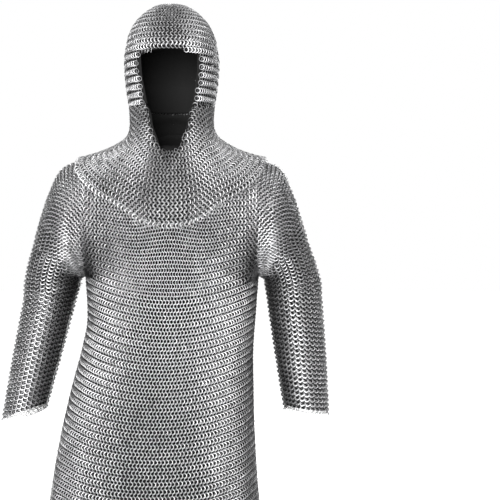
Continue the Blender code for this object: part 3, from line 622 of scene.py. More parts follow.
def leaning(k):
    """Rings of one row lean one way and those of the next row the other way."""
    return 1 if k % 2 else -1


class Row:
    """The path of one row of rings. Its coordinate is shared by all rows of a panel."""

    def __init__(self, coordinate, surface, facing, pitch, lean):
        self.coordinate = coordinate
        self.facing = facing
        self.path = surface - facing * RING_DEPTH
        step = np.linalg.norm(np.diff(self.path, axis=0), axis=1)
        pitch = np.broadcast_to(pitch, coordinate.shape)
        self.count = np.concatenate([[0.0], np.cumsum(step * 2 / (pitch[1:] + pitch[:-1]))])
        self.length = lengths_along(self.path)
        self.lean = lean

    def rings(self, places):
        """Centre, way along the row and outward way of the rings at some places."""
        tangent = unit(np.gradient(self.path, axis=0))
        centre, along, facing = (at_stops(places, self.coordinate, values)
                                 for values in (self.path, tangent, self.facing))
        return centre, unit(along), unit(facing)

# %% [markdown]
# ## Adding and ending rings
#
# The next two helpers keep a row even. A ring too far from its neighbour gets another one between them,
# and two that crowd become one. Then all of them move a little, until the gaps are nearly alike.

# %% Even out a row and place the next
def evened(counts, total):
    """Adds, merges and evens out rings until no gap is too wide or too narrow. Total closes a round."""
    closed = total is not None
    for _ in range(len(counts)):
        run = np.append(counts, counts[0] + total) if closed else counts
        gaps = np.diff(run)
        widest, narrowest = int(gaps.argmax()), int(gaps.argmin())
        if gaps[widest] > WIDEST_GAP:
            counts = np.sort(np.append(counts, (run[widest] + run[widest + 1]) / 2))
        elif gaps[narrowest] < NARROWEST_GAP:
            follower = (narrowest + 1) % len(counts)
            counts[narrowest] = (run[narrowest] + run[narrowest + 1]) / 2
            counts = np.delete(counts, follower)
        else:
            return counts
        for _ in range(EVENING_ROUNDS):
            counts = relaxed(counts, total)
    return counts


def relaxed(counts, total):
    if total is not None:
        before = np.append(counts[-1] - total, counts[:-1])
        after = np.append(counts[1:], counts[0] + total)
        return counts + EVENING_SHARE * ((before + after) / 2 - counts)
    middle = (counts[:-2] + counts[2:]) / 2
    return np.concatenate([counts[:1], counts[1:-1] + EVENING_SHARE * (middle - counts[1:-1]), counts[-1:]])


def next_places(row, before, closed):
    """Places of a row's rings, each between two rings of the row before it."""
    first, last = row.coordinate[0], row.coordinate[-1]
    if closed:
        middle = (before + np.append(before[1:], before[0] + last - first)) / 2
        middle = np.sort((middle - first) % (last - first) + first)
    else:
        middle = (before[1:] + before[:-1]) / 2
    counts = np.interp(middle, row.coordinate, row.count)
    if not closed:
        while counts[0] > WIDEST_GAP / 2 + ROW_END_ROOM:
            counts = np.append(counts[0] - 1, counts)
        while row.count[-1] - counts[-1] > WIDEST_GAP / 2 + ROW_END_ROOM:
            counts = np.append(counts, counts[-1] + 1)
        return np.interp(relaxed(evened(counts, None), None), row.count, row.coordinate)
    counts = relaxed(evened(counts, row.count[-1]), row.count[-1])
    counts = np.sort(counts % row.count[-1])
    return np.interp(counts, row.count, row.coordinate)

# %% [markdown]
# ## Sorting rings into panels
#
# A garment has many panels, and one row often crosses several. Every ring is put with its panel, together
# with all that is needed to build it later.

# %% Collect the rings
class Rings:
    """Ring places collected by panel: centre, way along the row, outward way, lean and pitch."""

    def __init__(self):
        self.parts = {}

    def add(self, row, places, panels, kept):
        """Adds a row's rings, each to its panel."""
        centre, along, facing = row.rings(places)
        reached = np.interp(places, row.coordinate, row.length)
        pitch = np.gradient(reached) if len(places) > 2 else np.full(len(places), RING_RADIUS * 2)
        for panel in np.unique(panels):
            chosen = kept & (panels == panel)
            if chosen.any():
                part = (centre[chosen], along[chosen], facing[chosen], pitch[chosen],
                        np.full(chosen.sum(), row.lean))
                self.parts.setdefault(str(panel), []).append(part)

    def count(self):
        return sum(len(part[0]) for parts in self.parts.values() for part in parts)


def outward_normals(surface, u, v, inside):
    """Unit normals of a surface at a grid or path, turned away from places inside it."""
    along_u = surface(u + STEP, v) - surface(u - STEP, v)
    along_v = surface(u, v + STEP) - surface(u, v - STEP)
    normal = unit(np.cross(along_u, along_v))
    away = (normal * (surface(u, v) - inside)).sum(-1, keepdims=True)
    return normal * np.sign(away)


rings = Rings()

# %% [markdown]
# ## Columns of the shirt
#
# The shirt's rows hang in its columns. A column starts at the crest of the shoulder, falls over the chest
# or back to the level of the armpits, and runs on to the hem. The front rows rise towards the arms,
# because the sleeves pull the mail up there.

# %% Work out the columns
COLUMNS = 241
UPPER_STEPS = 120
TUBE_STEPS = 300
LEDGE_STEPS = 3
FRONT_PULL = 0.038
ARMHOLE_RAISE = 0.25
RAISE_START = 0.30
GUSSET_LEVEL = -0.243
GUSSET_START = 0.85


def raised(share, across):
    """Share of a column's height that a row reaches; beside the armholes it is lifted."""
    weight = smooth((np.abs(across) - RAISE_START) / (1 - RAISE_START))
    return share + ARMHOLE_RAISE * weight * share * (1 - share)


class Columns:
    """A grid of points over the front or back, with lengths that are 0 at the armpits and grow upwards."""

    def __init__(self, place):
        back = np.array(place == "back")
        low = 0.0 if place == "back" else 0.5
        turns = np.linspace(low, low + 0.5, COLUMNS)
        self.x = across_body(turns)
        downs = np.linspace(1, 0, TUBE_STEPS)
        angles = np.linspace(-math.pi / 2, math.pi / 2, UPPER_STEPS)[LEDGE_STEPS:]
        turn, down = np.meshgrid(turns, downs, indexing="ij")
        x, angle = np.meshgrid(self.x, angles, indexing="ij")
        upper = shoulder_slice(x, angle, np.broadcast_to(back, x.shape))
        self.grid = np.concatenate([body_point(turn, down), upper], axis=1)
        facing = unit(np.cross(np.gradient(self.grid, axis=0), np.gradient(self.grid, axis=1)))
        away = self.grid - np.array([0.0, BODY_SET_BACK, 0.0])
        away[..., 2] = np.clip(self.grid[..., 2] + ARMHOLE_DROP, 0, None)
        self.facing = facing * np.sign((facing * away).sum(-1, keepdims=True))
        steps = np.linalg.norm(np.diff(self.grid, axis=1), axis=-1)
        lengths = np.concatenate([np.zeros((COLUMNS, 1)), np.cumsum(steps, axis=1)], axis=1)
        self.lengths = lengths - lengths[:, TUBE_STEPS - 1:TUBE_STEPS]
        share = np.clip(np.abs(self.x) / CHEST_HALF_WIDTH, 0, 1)
        self.pull = np.zeros(COLUMNS) if place == "back" else -FRONT_PULL * (1 - share ** 2)
        heights = self.grid[..., 2]
        levels = np.array([np.interp(*column) for column in zip(self.pull, self.lengths, heights)])
        beside = smooth((share - GUSSET_START) / (1 - GUSSET_START))
        levels = np.maximum(levels, mix(levels, GUSSET_LEVEL, beside))
        self.start = np.array([np.interp(*column) for column in zip(levels, heights, self.lengths)])

    def row(self, heights):
        """Surface points and outward ways where each column reaches a length."""
        points, facing = (np.array([at_stops(*column) for column in zip(heights, self.lengths, values)])
                          for values in (self.grid, self.facing))
        return points, unit(facing)


columns = {place: Columns(place) for place in ("front", "back")}
print("front column from hem to crest: %.3f m" % np.ptp(columns["front"].lengths[COLUMNS // 2]))

# %% [markdown]
# ## Rows of the shirt's tube
#
# Every row below the arms runs round the body and has the same number of rings. On the belly the mail
# hangs long and its rows are furthest apart.

# %% Lay the tube's rows
TUBE_RINGS = 152
TUBE_ROWS = 82
BELLY_STRETCH = 0.05
SIDE_SHARE = 0.11
WAIST_SHARE = 0.335


def tube_panel(turn, down):
    place = "back" if turn % 1 < 0.5 else "front"
    if min(turn % 1, 1 - turn % 1) < SIDE_SHARE:
        place = "right_side"
    if abs(turn % 1 - 0.5) < SIDE_SHARE:
        place = "left_side"
    level = "waist" if down < WAIST_SHARE else "skirt"
    return "shirt_hem_border" if down > 1 - BORDER_WIDTH / SKIRT_LENGTH else f"shirt_{level}_{place}"


def tube_heights(side, share):
    """Lengths at which a row crosses the columns of the front or back."""
    top = side.pull
    hem = side.lengths[:, 0] + RING_REACH
    stretch = BELLY_STRETCH * side.pull / -FRONT_PULL
    return mix(top, hem, share + stretch * share * (1 - share))


def lay_tube():
    for m in range(TUBE_ROWS):
        share = (m + 0.5) / TUBE_ROWS
        halves = [columns[place].row(tube_heights(columns[place], share)) for place in ("front", "back")]
        middle = COLUMNS // 2
        surface, facing = (np.concatenate([front[middle:], back[1:], front[1:middle + 1]])
                           for front, back in zip(*halves))
        turns = np.linspace(0.75, 1.75, len(surface))
        length = path_length(surface - facing * RING_DEPTH)
        row = Row(turns, surface, facing, length / TUBE_RINGS, leaning(m))
        counts = np.arange(TUBE_RINGS) + 0.5 * (m % 2)
        places = np.interp(counts, row.count, turns)
        panels = np.array([tube_panel(turn, share) for turn in places])
        rings.add(row, places, panels, np.full(len(places), True))


lay_tube()
print("tube:", rings.count(), "rings")

# %% [markdown]
# ## Rows of the chest, back and sleeves
#
# The upper rows run on over the shoulder and along the arm: each is one path from cuff to cuff. The
# armhole is much wider than the arm, so an armourer ends rows in pairs there, and the rows beside them
# close the gap. Its coordinate is -1 to 1 across the chest and goes on along the sleeves.

# %% Share out the rows along a sleeve
UPPER_ROWS = {"front": 56, "back": 52}
GUSSET_ROWS = {"front": 14, "back": 14}
GUSSET_ENDS = (0.05, 0.45)
GUSSET_CLOSING = 0.10
GUSSET_INNER = 0.90
LEAST_ROW_STEP = 0.0038
ENDED_PAIRS = 24
PAIR_ENDS = (0.12, 0.62)
PAIR_CLOSING = 0.16
ROW_END_SHARE = 0.5
SLEEVE_STEPS = 260
AROUND_STEPS = 181
CHEST_PITCH = 0.0064
ARMHOLE_PITCH = 0.0086
SLEEVE_PITCH = 0.0096
PITCH_STOPS = (0.25, 0.9, 1.2)


def row_turns(sleeve, along):
    """Turn of every row at each place along a sleeve, and which rows still run there."""
    around = np.linspace(0, 0.5, AROUND_STEPS)
    turns, runs = [], []
    for place, start in (("front", 0.0), ("back", 0.5)):
        count, extra = UPPER_ROWS[place], GUSSET_ROWS[place]
        side = columns[place]
        edge = int(np.argmax(side.x))
        under = side.start[edge] / side.lengths[edge, -1]
        bounds = raised(np.linspace(0, 1, count + 1), 1.0) * (1 - under) + under
        widths = np.concatenate([np.full(extra, under / extra), np.diff(bounds)])
        open_share = np.ones((extra + count, len(along)))
        for j in range(extra):
            end = mix(*GUSSET_ENDS, (j + 0.5) / extra)
            open_share[j] = 1 - smooth((along - end + GUSSET_CLOSING) / GUSSET_CLOSING)
        pairs = ENDED_PAIRS // 2
        for i in range(pairs):
            first = extra + int((i + 0.5) * count / pairs)
            end = mix(*PAIR_ENDS, (i * 5 % pairs + 0.5) / pairs)
            open_share[first:first + 2] = 1 - smooth((along - end + PAIR_CLOSING) / PAIR_CLOSING)
        even = smooth(along / PAIR_ENDS[1])
        widths = mix(widths[:, None], 1 / count, even) * open_share
        shares = (np.cumsum(widths, axis=0) - widths / 2) / widths.sum(axis=0)
        part = np.zeros_like(shares)
        for n, where in enumerate(along):
            lengths = lengths_along(sleeve.point(start + around, where))
            share = 1 - shares[:, n] if place == "front" else shares[:, n]
            part[:, n] = np.interp(share, lengths / lengths[-1], start + around)
        turns.append(part)
        runs.append(open_share > ROW_END_SHARE)
    return dict(zip(UPPER_ROWS, turns)), dict(zip(UPPER_ROWS, runs))

# %% [markdown]
# ## What shows of the upper rows
#
# The neck hole is open, and most of what lies under the mantle is left out, because nobody sees it. A
# patch at the throat stays, since it shows through the point of the face opening. The rest is shared out
# between the panels of the chest, back and sleeves.

# %% Sort the upper rings
HIDDEN_STRIP = 0.014
THROAT_PATCH = 0.034


def in_neck_hole(point, back):
    reach = NECK_BACK_REACH if back else NECK_FRONT_REACH
    grown = (np.abs(point[:, 0]) / (NECK_HALF_WIDTH + RING_RADIUS)) ** 2
    grown = grown + ((point[:, 1] - NECK_MIDDLE) / (reach + RING_RADIUS)) ** 2
    return (grown < 1) & (point[:, 2] > -ARMHOLE_DROP / 2)


def under_mantle(point):
    """Whether shirt rings lie so far under the mantle that nobody sees them."""
    turn = np.arctan2(point[:, 0], -(point[:, 1] - BODY_SET_BACK)) / (2 * np.pi) % 1
    hidden = point[:, 2] > mantle_edge_height(turn) + HIDDEN_STRIP
    throat = (point[:, 1] < 0) & (np.abs(point[:, 0]) < THROAT_PATCH)
    return hidden & ~(throat & (point[:, 2] > -FACE_DROP - THROAT_PATCH))


def upper_panels(places, back, turn, lengths):
    """Names of the panels that hold an upper row's places."""
    reach = np.abs(places)
    words = np.where(places < 0, "left", "right")
    half = "inner" if 0.25 < turn < 0.75 else "outer"
    bend, cuff = 2 + UPPER_SLEEVE_LENGTH, 2 + lengths
    names = np.full(len(places), "shirt_upper_back" if back else "shirt_upper_front", dtype=object)
    border = cuff - BORDER_WIDTH
    bands = ((1, 2, f"shoulder_{half}"), (2, bend, f"upper_sleeve_{half}"),
             (bend, border, f"lower_sleeve_{half}"), (border, cuff + 1, "cuff_border"))
    for low, high, name in bands:
        band = (reach > low) & (reach <= high)
        names[band] = [f"{word}_{name}" for word in words[band]]
    return names.astype(str)

# %% [markdown]
# ## Paths from cuff to cuff
#
# A row's path joins its part across the chest or back to its parts along both sleeves. Gusset rows fill
# the gap beside the armhole, as the square of mail that an armourer lets in under the arm does.

# %% Run the upper rows
sleeves = {word: Sleeve(word) for word in SIDES}
arm_length = sleeves["left"].length
along_arm = stepped(0, (1, SLEEVE_STEPS), (1 + arm_length, SLEEVE_STEPS))
arm_turns, arm_runs = row_turns(sleeves["left"], along_arm)


def arm_part(word, place, index):
    """Coordinates, points and outward ways of a row along a sleeve, from left to right."""
    sleeve = sleeves[word]
    turns = arm_turns[place][index]
    facing = outward_normals(sleeve.point, turns, along_arm, sleeve.middle(along_arm))
    part = (sleeve.side * (1 + along_arm), sleeve.point(turns, along_arm), facing)
    return [values[1:][::sleeve.side] for values in part]


def body_part(side, heights):
    """The same of a row across the chest or back, at some lengths of its columns."""
    order = np.argsort(side.x)
    return [values[order] for values in (side.x / CHEST_HALF_WIDTH, *side.row(heights))]


def joined_row(parts, place, k):
    coordinate, surface, facing = (np.concatenate(values) for values in zip(*parts))
    return Row(coordinate, surface, facing, row_pitch(coordinate), row_lean(place, k))


def upper_row(place, k):
    """The path of one row from cuff to cuff. Its number k is counted from the armpit upwards."""
    side = columns[place]
    share = raised((k + 0.5) / UPPER_ROWS[place], side.x / CHEST_HALF_WIDTH)
    middle = body_part(side, mix(side.start, side.lengths[:, -1], share))
    left, right = (arm_part(word, place, GUSSET_ROWS[place] + k) for word in SIDES)
    return joined_row([left, middle, right], place, k)


def gusset_row(word, place, j):
    """A row that starts beside the armhole, where the shirt's rows leave a gap, and runs under the arm."""
    side = columns[place]
    heights = mix(side.pull, side.start, (j + 0.5) / GUSSET_ROWS[place])
    middle = body_part(side, heights)
    beside = middle[0] * SIDES[word] > GUSSET_INNER
    parts = [[values[beside] for values in middle], arm_part(word, place, j)]
    return joined_row(parts[::SIDES[word]], place, j - GUSSET_ROWS[place])


def gusset_room(place, places, j):
    """Whether the gap beside the armhole is wide enough for a gusset row's rings."""
    side = columns[place]
    order = np.argsort(side.x)
    gap = np.interp(np.abs(places), side.x[order] / CHEST_HALF_WIDTH, (side.start - side.pull)[order])
    rows = GUSSET_ROWS[place] / (1 if j % 2 else 2 if j % 4 else 4)
    return (np.abs(places) > 1) | (gap / rows > LEAST_ROW_STEP)


def row_pitch(coordinate):
    return np.interp(np.abs(coordinate), PITCH_STOPS, (CHEST_PITCH, ARMHOLE_PITCH, SLEEVE_PITCH))


def row_lean(place, k):
    """Lean of an upper row, counted down from the crest of the shoulder so that front and back agree."""
    return leaning(UPPER_ROWS["front"] - 1 - k if place == "front" else UPPER_ROWS["back"] - k)

# %% [markdown]
# ## Laying the upper rows
#
# The rows are laid from the crest of the shoulder downwards, in front and at the back, and the gusset rows
# go on from the lowest of them. Rings at the very end of a row are left out.

# %% Lay the upper rows
ROW_END_SKIP = 0.2


def add_upper(row, places, place, index, room=True):
    """Adds the rings of an upper row that show and whose row still runs."""
    counts = np.interp(places, row.coordinate, row.count)
    centre = row.rings(places)[0]
    reach = np.abs(places)
    turn = float(arm_turns[place][index, 0])
    running = arm_runs[place][index].astype(float)
    kept = np.interp(np.clip(reach - 1, 0, None), along_arm, running) > ROW_END_SHARE
    kept &= (counts > ROW_END_SKIP) & (counts < row.count[-1] - ROW_END_SKIP) & room
    kept &= ~((reach <= 1) & (in_neck_hole(centre, place == "back") | under_mantle(centre)))
    rings.add(row, places, upper_panels(places, place == "back", turn, arm_length), kept)


def lay_upper():
    top = upper_row("front", UPPER_ROWS["front"] - 1)
    middle = np.interp(0, top.coordinate, top.count)
    reach = int(middle) - 1
    first = np.interp(middle + np.arange(-reach, reach + 1), top.count, top.coordinate)
    for place in ("front", "back"):
        places = first
        for k in range(UPPER_ROWS[place] - 1, -1, -1):
            row = upper_row(place, k)
            if place == "back" or k < UPPER_ROWS["front"] - 1:
                places = next_places(row, places, False)
            add_upper(row, places, place, GUSSET_ROWS[place] + k)
        for word, side in SIDES.items():
            beyond = places[places * side > 1]
            for j in range(GUSSET_ROWS[place] - 1, -1, -1):
                row = gusset_row(word, place, j)
                beyond = next_places(row, beyond, False)
                add_upper(row, beyond, place, j, gusset_room(place, beyond, j))


lay_upper()
print("with chest, back and sleeves:", rings.count(), "rings")

# %% [markdown]
# ## Rows of the hood
#
# The hood's rows run around the head and are laid upwards. Towards the top every row needs fewer rings.

# %% Lay the hood's rows
AROUND_HEAD = 721
HOOD_RINGS = 84
CHEEK_ROW_STEP = 0.0077
CROWN_ROW_STEP = 0.0064
HOOD_PITCH = 0.0080
EDGE_MARGIN = 0.0030
TOP_PART = 0.02


def hood_heights():
    """Heights of the hood's rows, at steps measured along the side of the head."""
    top = HEAD_RISE * (1 - TOP_PART * np.linspace(1, 0, UPPER_STEPS)[1:] ** 2)
    heights = np.concatenate([np.linspace(TURN_HEIGHT, HEAD_RISE * (1 - TOP_PART), TUBE_STEPS), top])
    steps = lengths_along(head_point(np.full(len(heights), 0.25), heights))
    places = [CHEEK_ROW_STEP / 2]
    while places[-1] < steps[-1] - CROWN_ROW_STEP / 2:
        low = np.interp(places[-1], steps, heights) < BROW_HEIGHT
        places.append(places[-1] + (CHEEK_ROW_STEP if low else CROWN_ROW_STEP))
    return np.interp(places[:-1], steps, heights)


def hood_panel(turn, height):
    turn = turn % 1
    if height > CROWN_HEIGHT:
        return "coif_crown"
    side = "right" if turn < 0.5 else "left"
    near = min(turn, 1 - turn)
    if near > CHEEK_SHARE:
        return "coif_nape"
    corner = FACE_HALF_WIDTH / head_sizes(BROW_CORNER_HEIGHT)[0]
    at_brow = height > BROW_CORNER_HEIGHT and near < math.asin(corner ** (HEAD_ROUNDNESS / 2)) / (2 * math.pi)
    return "coif_brow" if at_brow else f"coif_{side}_cheek"


def lay_hood():
    turns = np.linspace(0, 1, AROUND_HEAD)
    middle = np.array([0.0, 0.0, BROW_CORNER_HEIGHT])
    places = np.arange(HOOD_RINGS) / HOOD_RINGS
    for k, height in enumerate(hood_heights()):
        surface = head_point(turns, height)
        facing = outward_normals(head_point, turns, height, middle)
        length = path_length(surface)
        pitch = length / HOOD_RINGS if height < BROW_HEIGHT else HOOD_PITCH
        row = Row(turns, surface, facing, pitch, leaning(k))
        if k:
            places = next_places(row, places, True)
        panels = np.array([hood_panel(turn, height) for turn in places])
        rings.add(row, places, panels, ~in_face_opening(row.rings(places)[0], EDGE_MARGIN))
    return len(places)


print("last row of the hood:", lay_hood(), "rings; with the hood:", rings.count(), "rings")

# %% [markdown]
# ## Rows of the mantle
#
# The mantle's rows run parallel to its edge, so they are laid from the edge upwards. Its mail is spread
# over the shoulders, which pulls the rows close together.

# %% Lay the mantle's rows
MANTLE_ROW_STEP = 0.0062
MANTLE_PITCH = 0.0090
SETTLE_WIDTH = 0.05
SETTLE_DEPTH = 0.006
MANTLE_MIDDLE = np.array([0.0, BODY_SET_BACK, -MANTLE_FRONT_DROP / 2])


def settled(turn, down):
    """The mantle's surface, with its edge resting on the shirt."""
    down = np.clip(down, 2 * STEP, 1 - 2 * STEP)
    share = np.clip(1 - mantle.length(turn) * (1 - down) / SETTLE_WIDTH, 0, 1) ** 2
    outward = outward_normals(mantle.point, turn, down, MANTLE_MIDDLE)
    return mantle.point(turn, down) - outward * (SETTLE_DEPTH * share)[..., None]


def mantle_panels(turns, rise):
    near = np.minimum(turns, 1 - turns)
    names = np.where(turns < 0.5, "mantle_front_right", "mantle_front_left")
    names = np.where(near > MANTLE_SIDE_SHARE, "mantle_back", names)
    return np.full(len(turns), "mantle_border") if rise < BORDER_WIDTH else names


def lay_mantle():
    turns = np.linspace(0, 1, AROUND_HEAD)
    lengths = mantle.length(turns)
    for k in range(int(lengths.max() / MANTLE_ROW_STEP)):
        rise = RING_REACH + k * MANTLE_ROW_STEP
        down = 1 - rise / lengths
        inner = np.clip(down, 2 * STEP, 1 - 2 * STEP)
        facing = outward_normals(mantle.point, turns, inner, MANTLE_MIDDLE)
        row = Row(turns, settled(turns, inner), facing, MANTLE_PITCH, leaning(k))
        if k:
            places = next_places(row, places, True)
        else:
            count = round(row.count[-1])
            places = np.interp(np.arange(count) * row.count[-1] / count, row.count, turns)
        kept = (np.interp(places, turns, down) > 0) & ~in_face_opening(row.rings(places)[0], EDGE_MARGIN)
        rings.add(row, places, mantle_panels(places, rise), kept)


lay_mantle()
print("with the mantle:", rings.count(), "rings,", rings.count() * len(ring_faces) * 2, "triangles")

# %% [markdown]
# ## Steel
#
# The rings are bare steel. Light and shade are painted into their tone: painted shade darkens the side of
# each ring that faces the cloth and the rings on the flanks and in the folds at the armpits, and a painted
# highlight lightens the front of the chest. The tone is stored on the rings' corners, a little different for
# each ring. Fine noise breaks up the gloss of the wire, and coarse noise makes some patches darker.

# %% Steel material
STEEL_DARK = (0.06, 0.06, 0.062)
STEEL_LIGHT = (0.84, 0.84, 0.85)
TONE_STOPS = (0.05, 0.95)
GRAIN_SCALE = 900
GRAIN_DETAIL = 2
PATCH_SCALE = 14
PATCH_DETAIL = 3
PATCH_SHARE = 0.25
STEEL_ROUGHNESS = (0.42, 0.60)
STEEL_BUMP = (0.25, 0.0001)
# A brighter copy of the steel, for the mantle's border
BORDER_BRIGHTNESS = 1.05
# A darker copy of the steel for the mantle: painted shade
MANTLE_SHADE_BRIGHTNESS = 0.64


def link(tree, source, output, target, socket):
    tree.links.new(source.outputs[output], target.inputs[socket])


def set_inputs(node, inputs):
    """Sets inputs given by name, as in Base_Color=..."""
    for name, value in inputs.items():
        node.inputs[name.replace("_", " ")].default_value = value


def add_node(tree, kind, operation=None, **inputs):
    node = tree.nodes.new("ShaderNode" + kind)
    set_inputs(node, inputs)
    if operation:
        node.operation = operation
    return node


def new_material(name, **inputs):
    """A material, its nodes and its shader with some inputs given."""
    look = bpy.data.materials.new(name)
    look.use_nodes = True
    shader = look.node_tree.nodes["Principled BSDF"]
    set_inputs(shader, inputs)
    return look, look.node_tree, shader


def add_bump(tree, height, output, size, shader):
    bump = add_node(tree, "Bump", Strength=size[0], Distance=size[1])
    link(tree, height, output, bump, "Height")
    link(tree, bump, "Normal", shader, "Normal")


def steel_material(name, brightness):
    look, tree, shader = new_material(name, Metallic=1.0)
    tone = add_node(tree, "Attribute")
    tone.attribute_name = "tone"
    place = add_node(tree, "TexCoord")
    grain = add_node(tree, "TexNoise", Scale=GRAIN_SCALE, Detail=GRAIN_DETAIL)
    patches = add_node(tree, "TexNoise", Scale=PATCH_SCALE, Detail=PATCH_DETAIL)
    for noise in (grain, patches):
        link(tree, place, "Object", noise, "Vector")
    mixed = add_node(tree, "Math", "MULTIPLY_ADD")
    link(tree, patches, "Fac", mixed, 0)
    mixed.inputs[1].default_value = PATCH_SHARE
    link(tree, tone, "Fac", mixed, 2)
    ramp = add_node(tree, "ValToRGB")
    for stop, position, colour in zip(ramp.color_ramp.elements, TONE_STOPS, (STEEL_DARK, STEEL_LIGHT)):
        stop.position = position
        stop.color = (*[c * brightness for c in colour], 1)
    link(tree, mixed, 0, ramp, 0)
    link(tree, ramp, "Color", shader, "Base Color")
    gloss = add_node(tree, "MapRange", To_Min=STEEL_ROUGHNESS[0], To_Max=STEEL_ROUGHNESS[1])
    link(tree, grain, "Fac", gloss, "Value")
    link(tree, gloss, "Result", shader, "Roughness")
    add_bump(tree, grain, "Fac", STEEL_BUMP, shader)
    return look


ring_steel = steel_material("ring_steel_wire", 1.0)
# A brighter copy of the same steel, for the mantle's border
border_steel = steel_material("brighter_steel_wire", BORDER_BRIGHTNESS)
# The mantle's steel is a darker copy of the same steel: painted shade
shaded_mantle_steel = steel_material("painted_shade_steel_wire", MANTLE_SHADE_BRIGHTNESS)

# %% [markdown]
# ## From places to mail
#
# One mesh per panel holds copies of the ring, each turned to its row, the surface and its lean. The rings
# of one row all lean one way and those of the next row the other way, and they lean more where they
# crowd together. Small chance tilts keep the mail from looking machined.

# %% Build the panels of mail
# The mantle's panels take the darker copy of the steel, which is painted shade; its border takes a brighter
# copy
SHADED_PANELS = ("mantle_front_left", "mantle_front_right", "mantle_back")
BRIGHT_PANELS = ("mantle_border",)
CROWDED_PITCH = 0.0050
OPEN_PITCH = 0.0100
CROWDED_LEAN = math.radians(52)
OPEN_LEAN = math.radians(28)
TILT_SPREAD = math.radians(3)
# Painted shade: each ring is painted darker on its side towards the cloth than on the side that stands out
DEPTH_SHADE_FROM = 0.50
DEPTH_SHADE_SHARE = 0.60
RING_SHARE = 0.15
# Painted shade on rings that face sideways, on the flanks
SIDE_SHADE = 0.42
# A painted highlight on the front of the chest
CHEST_HIGHLIGHT = 0.25
CHEST_REACH = (0.085, 0.20)
CHEST_LEVEL = -0.30
# Painted shade in the folds at the armpits
FOLD_SHADE = 0.45
FOLD_REACH = 0.055
ARMPIT_FOLD = (0.190, -0.232)
PLACE_SPREAD = 0.00015


def show(name, data):
    """An object that puts some mesh or lamp in the scene."""
    made = bpy.data.objects.new(name, data)
    bpy.context.collection.objects.link(made)
    return made


def ring_lean(pitch):
    """Lean of the rings for their distance along the row."""
    return np.interp(pitch, (CROWDED_PITCH, OPEN_PITCH), (CROWDED_LEAN, OPEN_LEAN))


def ring_tones(centre, facing, offsets):
    """Corner brightness: painted shade towards the cloth, on flanks and in folds; painted chest highlight."""
    height = np.einsum("nvc,nc->nv", offsets, facing) / RING_REACH
    # Painted shade: darker towards the cloth, lighter on the side that stands out
    painted_depth_shade = DEPTH_SHADE_SHARE * smooth((height + DEPTH_SHADE_FROM) / (2 * DEPTH_SHADE_FROM))
    # Painted shade on rings that face sideways and in the folds at the armpits
    from_fold = np.hypot(np.abs(centre[:, :1]) - ARMPIT_FOLD[0], centre[:, 2:] - ARMPIT_FOLD[1])
    painted_side_fold_shade = SIDE_SHADE * facing[:, :1] ** 2 + FOLD_SHADE * np.exp(-(from_fold / FOLD_REACH) ** 2)
    # A painted highlight on rings facing the front in the middle of the chest
    from_chest = np.hypot(centre[:, :1] / CHEST_REACH[0], (centre[:, 2:] - CHEST_LEVEL) / CHEST_REACH[1])
    chest_highlight = CHEST_HIGHLIGHT * np.exp(-from_chest ** 2) * np.clip(-facing[:, 1:2], 0, 1)
    return np.clip(painted_depth_shade + chest_highlight + RING_SHARE * random.random(len(centre))[:, None] - painted_side_fold_shade, 0, 1)


def ring_copies(name, corners, tone):
    """One mesh of many rings, from their corners, with sharp rims and the tone of every corner."""
    count = len(corners)
    faces = ring_faces[None] + (np.arange(count) * len(ring_corners))[:, None, None]
    mesh = bpy.data.meshes.new(name)
    mesh.vertices.add(corners.shape[0] * corners.shape[1])
    mesh.vertices.foreach_set("co", corners.reshape(-1).astype(np.float32))
    mesh.loops.add(faces.size)
    mesh.loops.foreach_set("vertex_index", faces.reshape(-1).astype(np.int32))
    mesh.polygons.add(faces.shape[0] * faces.shape[1])
    mesh.polygons.foreach_set("loop_start", (np.arange(faces.size // 4) * 4).astype(np.int32))
    mesh.update(calc_edges=True)
    mesh.shade_smooth()
    ends = np.zeros(len(mesh.edges) * 2, dtype=np.int32)
    mesh.edges.foreach_get("vertices", ends)
    ends = ends.reshape(-1, 2) % len(ring_corners)
    along_rim = ring_rim[ends[:, 0]] & ring_rim[ends[:, 1]]
    mesh.attributes.new("sharp_edge", "BOOLEAN", "EDGE").data.foreach_set("value", along_rim)
    tones = mesh.attributes.new("tone", "FLOAT", "POINT")
    tones.data.foreach_set("value", tone.reshape(-1).astype(np.float32))
    return mesh


def ring_panel(name, rows, look):
    """All rings of a panel, each turned to its row, leant, and moved a little by chance."""
    centre, along, facing, pitch, lean = (np.concatenate(parts) for parts in zip(*rows))
    across = unit(np.cross(facing, along))
    facing = unit(np.cross(along, across))
    count = len(centre)
    angle = lean * ring_lean(pitch) + random.normal(0, TILT_SPREAD, count)
    tip = random.normal(0, TILT_SPREAD, count)
    centre = centre + random.normal(0, PLACE_SPREAD, (count, 3))
    x_way = along * np.cos(angle)[:, None] + facing * np.sin(angle)[:, None]
    z_way = facing * np.cos(angle)[:, None] - along * np.sin(angle)[:, None]
    y_way = across * np.cos(tip)[:, None] + z_way * np.sin(tip)[:, None]
    z_way = unit(np.cross(x_way, y_way))
    offsets = np.einsum("vk,nkc->nvc", ring_corners, np.stack([x_way, y_way, z_way], 1))
    mesh = ring_copies(name, centre[:, None, :] + offsets, ring_tones(centre, facing, offsets))
    mesh.materials.append(look)
    return show(name, mesh)

# %% [markdown]
# ## What carries the mail
#
# The shirt's panels ride on the shirt's body and the shoulder panels on their sleeve's body. The
# coif's panels and the rest of each sleeve are set in place and ride on no body. Cloth does the same.

